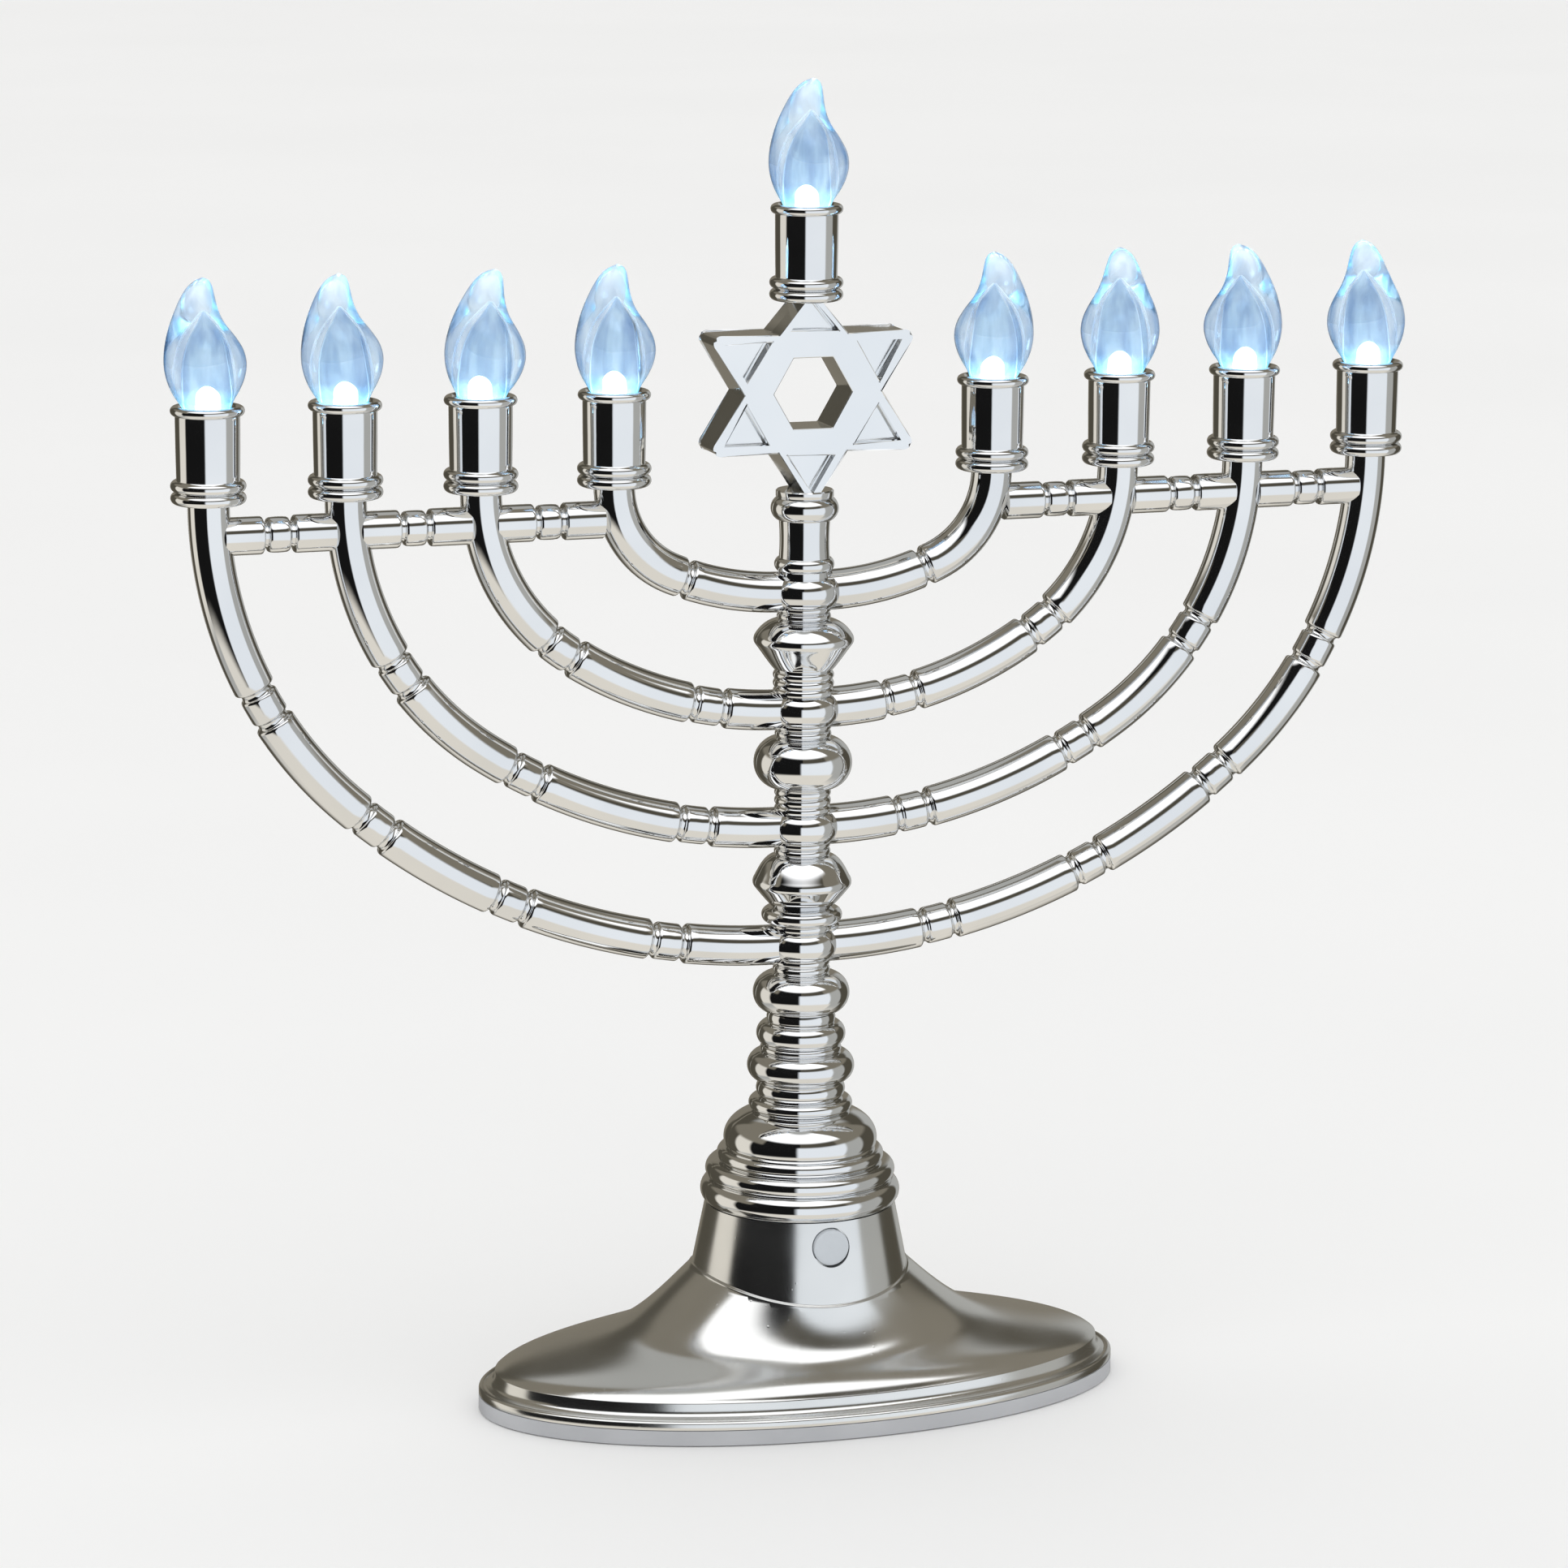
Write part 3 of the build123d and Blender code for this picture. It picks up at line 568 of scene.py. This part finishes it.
def shaft_outline():
    joints = [shaft_joint(index) for index in range(ARM_COUNT)]
    floor = [z - RING_HALF for z in joints]
    top = [z + RING_HALF for z in joints]
    rings = [bulge(floor[n], top[n], 6.9, RING_RADIUS, 16) for n in range(ARM_COUNT)]
    outline = [(0.0, COLLAR_BOTTOM)] + bulge(COLLAR_BOTTOM, 51.1, 21.6, 23.1, 18)
    outline += bulge(51.1, 55.2, 20.8, 21.95) + bulge(55.2, 58.4, 18.4, 19.3)
    outline += curve_between((17.2, 58.4), (18.4, 60.4), (18.2, 65.2), (11.3, 67.3), 20)
    outline += bulge(67.3, 70.3, 11.0, 12.0) + bulge(70.3, 74.3, 9.3, 10.3)
    outline += bulge(74.3, 81.2, 9.9, 12.4, 16) + bulge(81.2, 82.7, 9.0, 9.4, 6)
    outline += bulge(82.7, 88.0, 8.8, 10.3) + bulge(88.0, 90.3, 7.7, 7.95, 6)
    outline += bulge(90.3, 99.7, 7.0, 11.15, 22) + ribs(99.7, floor[3], 2, 6.6) + rings[3]
    outline += ribs(top[3], 111.6, 1, 7.0) + bulge(111.6, 115.1, 7.6, 9.3)
    outline += knob(115.1, 121.0, 127.4, 6.6, 11.45) + ribs(127.4, floor[2], 2, 6.5) + rings[2]
    outline += ribs(top[2], 143.1, 3, 6.5) + bulge(143.1, 154.9, 6.7, 11.3, 24)
    outline += ribs(154.9, floor[1], 2, 6.5) + rings[1] + ribs(top[1], 170.4, 3, 7.0)
    outline += knob(170.4, 177.5, 182.2, 6.4, 11.55) + ribs(182.2, floor[0], 2, 6.2) + rings[0]
    outline += [(CORE_RADIUS, top[0]), (CORE_RADIUS, 193.4)] + bulge(193.4, 196.5, 6.0, 6.85)
    outline += curve_between((CORE_RADIUS + 0.1, 196.5), (CORE_RADIUS - 0.1, 199), (CORE_RADIUS - 0.1, 202),
                             (CORE_RADIUS + 0.15, 205.2), 8)
    outline += bulge(205.2, 210.4, 6.3, 7.75, 16)
    outline += [(6.45, 210.4), (6.6, 210.6), (6.6, SHAFT_TOP - 0.3), (6.3, SHAFT_TOP), (0.0, SHAFT_TOP)]
    return outline


def build_shaft():
    outline = shaft_outline()

    def outline_at(station, angle, inset):
        radius, z = station
        reach = max(0.0, radius - inset)
        return Vector((reach * cos(angle), reach * sin(angle), z))

    for side, half in ((-1, "front"), (1, "rear")):
        points, faces = half_section(outline_at, outline, side, columns=64)
        piece = make_object(f"plated_shaft_{half}", points, [face[::-1] for face in faces[:-2]], 40.0)
        finish_piece(piece, "chrome", "stand", "plated_frame", f"shaft_{half}")


# ---- star ----------------------------------------------------------------------------------


def turn_point(radius, degrees):
    return radius * cos(radians(degrees)), radius * sin(radians(degrees))


def star_half(side):
    """Half of the star: a flat band round a six-sided window and six points with sunk panels."""
    points, faces = [], []

    def corner(xy, depth, wide=STAR_WIDENING):
        points.append(Vector((xy[0] * wide, side * depth, STAR_HEIGHT + xy[1])))
        return len(points) - 1

    face, border, inner_border = STAR_HALF_DEPTH, 1.6, 0.6
    notches = [turn_point(STAR_RADIUS / sqrt(3), 60 * n) for n in range(6)]
    window = [turn_point(STAR_WINDOW, 60 * n) for n in range(6)]
    levels = [
        ([corner(p, depth) for p in notches], [corner(p, depth, 1.0) for p in window]) for depth in (face, 0.0)
    ]
    (notch, hole), (back_notch, back_hole) = levels
    reach = STAR_RADIUS - 2 * TIP_ROUND
    arc = [(reach + TIP_ROUND * cos(radians(a)), TIP_ROUND * sin(radians(a))) for a in range(-60, 61, 20)]
    panel_tip, panel_base = STAR_RADIUS - 2 * border, STAR_RADIUS / 2 + inner_border
    half, draft = (panel_tip - panel_base) / sqrt(3), 0.2
    rim_shape = ((panel_tip, 0), (panel_base, half), (panel_base, -half))
    floor_shape = ((panel_tip - 2 * draft, 0), (panel_base + draft, half - 1.7 * draft),
                   (panel_base + draft, 1.7 * draft - half))
    for n in range(6):
        m = (n + 1) % 6
        faces.append([hole[n], hole[m], notch[m], notch[n]])
        faces.append([hole[m], hole[n], back_hole[n], back_hole[m]])
        out, across = turn_point(1, 30 + 60 * n), turn_point(1, 120 + 60 * n)

        def placed(shape, depth):
            spots = [(out[0] * u + across[0] * v, out[1] * u + across[1] * v) for u, v in shape]
            return [corner(spot, depth) for spot in spots]

        tip, tip_back = placed(arc, face), placed(arc, 0.0)
        rim, floor = placed(rim_shape, face), placed(floor_shape, face - PANEL_DEPTH)
        middle = len(tip) // 2
        faces.append([notch[n], rim[2], rim[0], *reversed(tip[:middle + 1])])
        faces.append([*reversed(tip[middle:]), rim[0], rim[1], notch[m]])
        faces.append([notch[m], rim[1], rim[2], notch[n]])
        faces += [[rim[k], rim[(k + 1) % 3], floor[(k + 1) % 3], floor[k]] for k in range(3)]
        faces.append(floor[::-1])
        outer = [notch[n], *tip, notch[m]]
        behind = [back_notch[n], *tip_back, back_notch[m]]
        faces += [[outer[k], behind[k], behind[k + 1], outer[k + 1]] for k in range(len(outer) - 1)]
    return points, faces


def build_star():
    for side, half in ((-1, "front"), (1, "rear")):
        piece = make_object(f"plated_star_{half}", *star_half(side), sharp_degrees=180.0)
        bevel = piece.modifiers.new("edges", "BEVEL")
        bevel.width = 0.28 * MM
        bevel.segments = 3
        bevel.limit_method = "ANGLE"
        bevel.angle_limit = radians(32)
        bevel.harden_normals = True
        low = SHAFT_TOP - 0.6
        high = CUP_BOTTOM[4] + 0.6
        apply_modifiers(piece)
        trim_heights(piece, low, high)
        finish_piece(piece, "star", "stand", "plated_frame", f"star_{half}")


def apply_modifiers(piece):
    depsgraph = bpy.context.evaluated_depsgraph_get()
    mesh = bpy.data.meshes.new_from_object(piece.evaluated_get(depsgraph))
    piece.modifiers.clear()
    piece.data = mesh


def trim_heights(piece, low, high):
    """Flatten points below and above the given heights onto them."""
    for vertex in piece.data.vertices:
        z = vertex.co.z / MM
        if z < low or z > high:
            limit = low if z < low else high
            vertex.co.z = limit * MM


# ---- cups, lights and flames -----------------------------------------------------------------


def cup_outline():
    rim = CUP_HEIGHT
    ring_radius = RIM_RADIUS - 0.05
    outline = [(0.0, 0.0), (ring_radius - 0.4, 0.0)]
    for n in (0, 1):
        middle = FOOT_RING * (1 + 2.07 * n)
        turns = [-pi / 2 + pi * k / 14 for k in range(15)]
        outline += [(ring_radius + FOOT_RING * cos(a), middle + FOOT_RING * sin(a)) for a in turns]
    outline += [(ring_radius + 0.02, 2 * FOOT_RING * 2.03), (RIM_RADIUS - 0.1, 5.6), (RIM_RADIUS, 12.0)]
    outline += [(RIM_RADIUS + 0.05, rim - RIM_TUBE - 0.15)]
    turns = [-pi / 2 + 1.42 * pi * k / 22 for k in range(23)]
    outline += [(RIM_RADIUS + RIM_TUBE * cos(a), rim + RIM_TUBE * sin(a)) for a in turns]
    outline += [(6.05, rim - 0.25), (5.0, rim - 0.3), (4.9, rim - 0.4), (4.9, rim - 3.0), (0.0, rim - 3.0)]
    return outline


def led_outline():
    base = CUP_HEIGHT - 2.9
    outline = [(0.0, base), (2.9, base), (2.9, base + 0.9), (2.5, base + 1.0), (2.5, base + 6.6)]
    outline += [(2.5 * cos(a), base + 7.0 + 2.5 * sin(a)) for a in [pi / 2 * k / 12 for k in range(13)]]
    return outline


FLAME_KEYS = (
    (0.15, 0.0, 4.9), (0.5, 0.0, 5.25), (2.2, -0.1, 6.2), (4.4, 0.0, 7.5), (7.0, 0.15, 8.55), (10.0, 0.2, 9.05),
    (13.0, 0.0, 8.7), (16.0, -0.55, 7.6), (19.0, -1.15, 6.1), (22.0, -1.15, 4.85), (25.0, -0.65, 3.8),
    (27.3, 0.0, 2.75), (28.5, 0.5, 1.65), (29.05, 0.75, 0.6),
)


def smooth_keys(keys, steps):
    """Catmull-Rom curve through rows of numbers."""
    rows = []
    for n in range(len(keys) - 1):
        before = keys[max(0, n - 1)]
        after = keys[min(len(keys) - 1, n + 2)]
        for k in range(steps):
            t = k / steps
            row = []
            for a, b, c, d in zip(before, keys[n], keys[n + 1], after):
                row.append(b + 0.5 * t * (c - a + t * (2 * a - 5 * b + 4 * c - d + t * (3 * (b - c) + d - a))))
            rows.append(row)
    return rows + [list(keys[-1])]


CAVITY_KEYS = (
    (-2.4, 3.4), (-0.4, 3.6), (1.0, 4.3), (4.0, 4.8), (7.0, 4.85), (10.0, 4.65), (13.0, 4.1), (15.5, 3.35),
    (17.5, 2.45), (19.3, 1.45), (20.7, 0.65), (21.6, 0.12),
)
CAMERA_BEARING = -18.0


def flame_mesh(lens_turn):
    """Outer skin of the flame, its pointed almond-shaped cavity and two tubes along the cavity that carry a painted
    highlight.
    """
    columns = 64
    points, faces = [], []
    rows = [(-2.4, 0.0, 4.5), (-0.2, 0.0, 4.5), (0.05, 0.0, 4.6)] + smooth_keys(FLAME_KEYS, 4)
    for rise, shift, radius in rows:
        for c in range(columns):
            angle = 2 * pi * c / columns
            points.append(Vector((shift + radius * cos(angle), radius * sin(angle), rise)))
    faces += grid_faces(len(rows), columns, False, True)
    points.append(Vector((0.8, 0.0, 29.25)))
    tip = len(points) - 1
    first = (len(rows) - 1) * columns
    faces += [[first + c, first + (c + 1) % columns, tip] for c in range(columns)]
    start = len(points)
    inner = smooth_keys(CAVITY_KEYS, 3)
    turn = radians(CAMERA_BEARING - lens_turn)
    for rise, half in inner:
        for c in range(columns):
            angle = 2 * pi * c / columns
            x = half * cos(angle)
            y = 0.82 * half * copysign(abs(sin(angle)) ** 1.35, sin(angle))
            points.append(Vector((x * cos(turn) - y * sin(turn), x * sin(turn) + y * cos(turn), rise)))
    faces += [face[::-1] for face in grid_faces(len(inner), columns, False, True, start)]
    last = start + (len(inner) - 1) * columns
    faces.append([last + c for c in reversed(range(columns))])
    faces += [[c, start + c, start + (c + 1) % columns, (c + 1) % columns] for c in range(columns)]
    lens_faces = len(faces)
    # Two thin tubes along the cavity's sides, given a glowing material later: painted highlight lines.
    sides = 8
    ridge_highlight = [row for row in inner if row[0] > 0.8]
    for side in (-1, 1):
        first = len(points)
        for rise, half in ridge_highlight:
            thick = 0.16 + 0.14 * (1 - rise / 21.6)
            for k in range(sides):
                angle = 2 * pi * k / sides
                x = side * (half + 0.05) + thick * cos(angle)
                y = thick * sin(angle)
                points.append(Vector((x * cos(turn) - y * sin(turn), x * sin(turn) + y * cos(turn), rise + 0.1)))
        faces += grid_faces(len(ridge_highlight), sides, False, True, first)
        faces.append([first + k for k in range(sides)])
        faces.append([first + (len(ridge_highlight) - 1) * sides + k for k in range(sides)])
    return points, faces, lens_faces


def build_lights():
    led_parts = []
    for n in range(9):
        x, bottom = CUP_X[n], CUP_BOTTOM[n]
        spot = Matrix.Translation((x, 0, bottom))
        cup = lathe(f"plated_cup_{n + 1}", cup_outline(), 96, 50.0, spot)
        finish_piece(cup, "chrome", "stand", "plated_cups", f"candle_cup_{n + 1}")
        led = led_outline()
        led_points = []
        for radius, z in led:
            for c in range(32):
                angle = 2 * pi * c / 32
                led_points.append(spot @ Vector((radius * cos(angle), radius * sin(angle), z)))
        led_parts.append((led_points, grid_faces(len(led), 32, False, True)))
        lean = Matrix.Rotation(radians(FLAME_LEAN[n]), 4, "Y")
        turn = Matrix.Rotation(radians(FLAME_TURN[n]), 4, "Z")
        place = Matrix.Translation((x, 0, bottom + CUP_HEIGHT)) @ lean @ turn
        points, faces, lens_faces = flame_mesh(FLAME_TURN[n])
        flame = make_object(f"flame_cap_{n + 1}", [place @ p for p in points], faces, 60.0)
        acrylic = "middle_lens" if n == 4 else "lens"
        finish_piece(flame, acrylic, f"flame_cap_{n + 1}", "flame_lens", f"flame_{n + 1}")
        # The tubes take the glowing material: painted highlight lines.
        flame.data.materials.append(MATERIALS["ridge_highlight"])
        for polygon in flame.data.polygons[lens_faces:]:
            polygon.material_index = 1
    lights = make_object("lit_diodes", *merge(led_parts), sharp_degrees=50.0)
    finish_piece(lights, "light", "stand", "light", "leds")


# ---- base ----------------------------------------------------------------------------------


def flare_levels():
    """Half axes and height of the flared top from the neck out to its ledge."""
    levels = []
    first = curve_between((-0.02, 34.5), (0.11, 27.0), (0.288, 18.8), (0.4527, 16.3), 26)
    second = curve_between((0.4527, 16.3), (0.617, 13.8), (0.93, 12.4), (1.0, LEDGE_TOP), 26)
    for spread, z in first + second[1:]:
        half_x = FLARE_INNER + spread * (BASE_HALF_X - LEDGE_INSET - FLARE_INNER)
        half_y = FLARE_INNER + spread * (BASE_HALF_Y - LEDGE_INSET - FLARE_INNER)
        levels.append((half_x, half_y, z))
    return levels


def neck_radius(z):
    return NECK_TOP_RADIUS + NECK_SLOPE * (COLLAR_BOTTOM - z)


def base_column(angle, levels):
    """Outline of the cover at one polar angle: the neck with its step, then the flare."""
    ux, uy = cos(angle), sin(angle)
    crease = CREASE_FRONT + (CREASE_SIDE - CREASE_FRONT) * ux * ux
    top = crease + 0.5
    column = [(neck_radius(COLLAR_BOTTOM) - 1.0, COLLAR_BOTTOM)]
    for n in range(25):
        z = COLLAR_BOTTOM + (top - COLLAR_BOTTOM) * n / 24
        column.append((neck_radius(z), z))
    edge = neck_radius(crease)
    ledge = (edge + NECK_STEP / 2, crease - 0.03)
    lip = (edge + NECK_STEP, crease - 0.5)
    column += curve_between(column[-1], (neck_radius(top), crease), (edge + 0.1, crease), ledge, 5)[1:]
    column += curve_between(ledge, (ledge[0] + 0.2, ledge[1]), (lip[0] - 0.06, lip[1] + 0.3), lip, 5)[1:]
    flared = [(a * b / hypot(b * ux, a * uy), z) for a, b, z in levels]
    below = [n for n, (_, z) in enumerate(flared) if z < lip[1]][0]
    (r0, z0), (r1, z1) = flared[below - 1], flared[below]
    push = lip[0] - (r0 + (r1 - r0) * (lip[1] - z0) / (z1 - z0))
    beyond = [(radius + push * exp((z - lip[1]) / 5), z) for radius, z in flared[below:] if z < lip[1] - 0.2]
    return column, beyond


def resample(points, count):
    """Evenly spaced points along a polyline, by distance."""
    lengths = [0.0]
    for a, b in zip(points, points[1:]):
        lengths.append(lengths[-1] + hypot(b[0] - a[0], b[1] - a[1]))
    result, n = [], 0
    for k in range(count):
        target = lengths[-1] * k / (count - 1)
        while n < len(points) - 2 and lengths[n + 1] < target:
            n += 1
        t = (target - lengths[n]) / (lengths[n + 1] - lengths[n])
        a, b = points[n], points[n + 1]
        result.append((a[0] + t * (b[0] - a[0]), a[1] + t * (b[1] - a[1])))
    return result


def rim_rows():
    """Rows of the cover's edge as (inset from the outline, height): ledge, cove and bead."""
    rows = [(LEDGE_INSET - 0.12, LEDGE_TOP - 0.12), (LEDGE_INSET - 0.16, LEDGE_TOP - 0.4)]
    cove = curve_between((LEDGE_INSET - 0.2, LEDGE_TOP - 0.7), (LEDGE_INSET - 0.35, 7.2), (3.2, 6.2), (2.1, 5.95), 8)
    rows += cove
    rows += [(1.75, 5.75), (1.6, 5.72), (1.45, 5.8)]
    turns = [pi / 2 * (1 - k / 8) for k in range(9)]
    rows += [(0.95 - 0.95 * cos(a), 4.95 + 0.95 * sin(a)) for a in turns]
    rows += [(0.0, PLATE_TOP + 0.35), (0.12, PLATE_TOP + 0.12), (0.5, PLATE_TOP + 0.05), (6.0, PLATE_TOP + 0.05)]
    return rows


def build_base_cover():
    columns = 384
    levels = flare_levels()
    grid = []
    for c in range(columns):
        turn = 2 * pi * c / columns
        angle = atan2(BASE_HALF_Y * 1.25 * sin(turn), BASE_HALF_X * cos(turn))
        ux, uy = cos(angle), sin(angle)
        column, beyond = base_column(angle, levels)
        column = column + resample(beyond, 44)
        column = [Vector((radius * ux, radius * uy, z)) for radius, z in column]
        for inset, z in rim_rows():
            a, b = BASE_HALF_X - inset, BASE_HALF_Y - inset
            radius = a * b / hypot(b * ux, a * uy)
            column.append(Vector((radius * ux, radius * uy, z)))
        grid.append(column)
    points = [p for column in grid for p in column]
    rows = len(grid[0])
    faces = grid_faces(columns, rows, True, False)
    faces.append([rows * c for c in reversed(range(columns))])
    faces.append([rows * c + rows - 1 for c in range(columns)])
    piece = make_object("plated_base_cover", points, faces, 40.0)
    face_y, middle = button_spot()
    pocket = lathe("pocket", [(0.0, -8.0), (4.5, -8.0), (4.5, 3.0), (0.0, 3.0)], 96, 30.0,
                   Matrix.Translation((middle[0], face_y, middle[1])) @ Matrix.Rotation(-pi / 2, 4, "X"))
    cut = piece.modifiers.new("pocket", "BOOLEAN")
    cut.operation = "DIFFERENCE"
    cut.solver = "EXACT"
    cut.object = pocket
    apply_modifiers(piece)
    piece.data.set_sharp_from_angle(angle=radians(40.0))
    bpy.data.objects.remove(pocket)
    finish_piece(piece, "base_chrome", "stand", "plated_base", "base_cover")


def button_spot():
    """Depth of the button's face, and the middle of the button across and up."""
    low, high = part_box("push_button")
    return low[1] / MM, [(low[k] + high[k]) / 2 / MM for k in (0, 2)]


def build_button():
    face, middle = button_spot()
    radius = 4.2
    outline = [(0.0, 0.0), (radius - 0.9, 0.0), (radius - 0.35, 0.04), (radius - 0.1, 0.14), (radius, 0.4)]
    outline += [(radius, 3.9), (5.3, 4.0), (5.3, 5.1), (1.6, 5.2), (1.6, 6.8), (0.0, 6.8)]
    place = Matrix.Translation((middle[0], face, middle[1])) @ Matrix.Rotation(-pi / 2, 4, "X")
    piece = lathe("button_cap", outline, 64, 40.0, place)
    finish_piece(piece, "button", "button", "button", "push_button")


CAD_FINISHES = {
    "tray": ("base_plate", "battery_door"),
    "black": ("tact_switch", "board_parts"),
    "board": ("circuit_board",),
    "button": ("switch_plunger",),
    "rubber": ("rubber_feet",),
    "wire": ("wiring",),
    "cells": ("battery_cells",),
    "steel": ("contact_springs", "contact_plates", "base_screws"),
}


def finish_cad_nodes():
    for material, names in CAD_FINISHES.items():
        for name in names:
            mesh = nodes[name].data
            mesh.materials.clear()
            mesh.materials.append(MATERIALS[material])


# ---- studio --------------------------------------------------------------------------------

CAMERA_PLACE = (-0.4356, -1.2937, 0.4257)
CAMERA_TURN = radians(18.43)
CAMERA_TILT = radians(11.67)
CAMERA_ROLL = radians(0.388)
CAMERA_LENS = 139.8


def build_camera():
    ahead = Vector((sin(CAMERA_TURN) * cos(CAMERA_TILT), cos(CAMERA_TURN) * cos(CAMERA_TILT), -sin(CAMERA_TILT)))
    right = Vector((cos(CAMERA_TURN), -sin(CAMERA_TURN), 0))
    up = right.cross(ahead)
    right, up = (cos(CAMERA_ROLL) * right + sin(CAMERA_ROLL) * up,
                 cos(CAMERA_ROLL) * up - sin(CAMERA_ROLL) * right)
    camera = bpy.data.objects.new("camera", bpy.data.cameras.new("camera"))
    camera.data.lens = CAMERA_LENS
    camera.data.sensor_width = 36.0
    turn = Matrix((right, up, -ahead)).transposed().to_4x4()
    camera.matrix_world = Matrix.Translation(CAMERA_PLACE) @ turn
    bpy.context.scene.collection.objects.link(camera)
    bpy.context.scene.camera = camera


def stage_plane(name, half, z, colour, roughness):
    corners = [(-half, -half, z), (half, -half, z), (half, half, z), (-half, half, z)]
    mesh = bpy.data.meshes.new(name)
    mesh.from_pydata(corners, [], [(0, 1, 2, 3)])
    plane = bpy.data.objects.new(name, mesh)
    bpy.context.scene.collection.objects.link(plane)
    shader = Shader(name, colour, roughness)
    shader.vary_colour(3.0, colour, [0.985 * c for c in colour])
    mesh.materials.append(shader.material)
    plane.visible_glossy = False
    plane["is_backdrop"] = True


OLIVE, DEEP, BLACK = (0.21, 0.19, 0.15), (0.08, 0.072, 0.054), (0.008, 0.008, 0.008)
WHITE, SKY, GREY, CREAM = (1.35, 1.35, 1.35), (0.86, 0.90, 0.94), (0.42, 0.42, 0.40), (0.78, 0.74, 0.66)
AROUND = (
    (0, 74, SKY), (74, 108, GREY), (108, 146, DEEP), (146, 170, GREY), (170, 206, OLIVE), (206, 248, DEEP),
    (248, 280, CREAM), (280, 356, BLACK), (356, 360, SKY),
)
OVERHEAD = ((0, 76, WHITE), (76, 150, OLIVE), (150, 210, GREY), (210, 284, OLIVE), (284, 360, WHITE))
# What the polished parts mirror, as (elevation, bands); a band is (start, end, colour) in degrees
# of bearing, which is 0 at the camera's side and grows towards the camera's right.
ROOM = (
    (-64, ((0, 360, CREAM),)),
    (-34, ((0, 80, CREAM), (80, 120, GREY), (120, 240, DEEP), (240, 280, GREY), (280, 360, CREAM))),
    (-24, AROUND),
    (16, AROUND),
    (25, ((0, 60, DEEP), (60, 140, OLIVE), (140, 220, DEEP), (220, 300, OLIVE), (300, 360, BLACK))),
    (36, ((0, 60, DEEP), (60, 140, OLIVE), (140, 220, DEEP), (220, 300, OLIVE), (300, 360, BLACK))),
    (46, OVERHEAD),
    (76, OVERHEAD),
    (84, ((0, 360, GREY),)),
)


def build_world():
    """Plain white studio; polished parts mirror its softboxes and its unlit corners."""
    world = bpy.data.worlds.new("studio")
    bpy.context.scene.world = world
    world.use_nodes = True
    tree = world.node_tree
    tree.nodes.clear()

    def add(kind, **settings):
        node = tree.nodes.new(kind)
        for key, value in settings.items():
            setattr(node, key, value)
        return node

    def math(operation, first, second=None):
        node = add("ShaderNodeMath", operation=operation)
        for socket, value in zip(node.inputs, (first, second)):
            if isinstance(value, (int, float)):
                socket.default_value = value
            elif value is not None:
                tree.links.new(value, socket)
        return node.outputs[0]

    def mixed(factor, first, second):
        node = add("ShaderNodeMix", data_type="RGBA")
        tree.links.new(factor, node.inputs["Factor"])
        for socket, value in zip([s for s in node.inputs if s.type == "RGBA"], (first, second)):
            if isinstance(value, tuple):
                socket.default_value = value
            else:
                tree.links.new(value, socket)
        return [s for s in node.outputs if s.type == "RGBA"][0]

    def bands(factor, spans, soft=2.5):
        node = add("ShaderNodeValToRGB")
        elements = node.color_ramp.elements
        stops = []
        for start, end, colour in spans:
            stops += [(start + soft, colour), (end - soft, colour)]
        while len(elements) < len(stops):
            elements.new(0.5)
        for element, (degrees, colour) in zip(elements, stops):
            element.position = degrees / 360
            element.color = (*colour, 1.0)
        tree.links.new(factor, node.inputs["Fac"])
        return node.outputs["Color"]

    split = add("ShaderNodeSeparateXYZ")
    tree.links.new(add("ShaderNodeTexCoord").outputs["Generated"], split.inputs[0])
    x, y, z = split.outputs
    bearing = math("ARCTAN2", x, math("MULTIPLY", y, -1.0))
    bearing = math("FRACT", math("ADD", math("DIVIDE", bearing, 2 * pi), 1.0 + CAMERA_TURN / (2 * pi)))
    elevation = math("MULTIPLY", math("ARCSINE", z), 180 / pi)
    room = bands(bearing, ROOM[0][1])
    for (low, _), (high, spans) in zip(ROOM, ROOM[1:]):
        step = add("ShaderNodeMapRange", interpolation_type="SMOOTHSTEP")
        step.inputs["From Min"].default_value = low
        step.inputs["From Max"].default_value = high
        tree.links.new(elevation, step.inputs["Value"])
        room = mixed(step.outputs[0], room, bands(bearing, spans))
    path = add("ShaderNodeLightPath")
    background = add("ShaderNodeBackground")
    mirrored_only = math("MULTIPLY", path.outputs["Is Glossy Ray"],
                         math("SUBTRACT", 1.0, path.outputs["Is Transmission Ray"]))
    shown = mixed(mirrored_only, (1.0, 1.0, 1.0, 1.0), room)
    tree.links.new(shown, background.inputs["Color"])
    output = add("ShaderNodeOutputWorld")
    tree.links.new(background.outputs[0], output.inputs["Surface"])


def build_studio():
    stage_plane("floor", 12.0, 0.0, (0.98, 0.98, 0.975), 0.6)
    build_world()
    bpy.context.scene.view_settings.view_transform = "Standard"


build_camera()
build_arms()
build_bars()
build_shaft()
build_star()
build_lights()
build_base_cover()
build_button()
finish_cad_nodes()
build_studio()

boxes = {"cad": cad_bounds, "visual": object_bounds()}
{name: [list(corner) for corner in box] for name, box in boxes.items()}
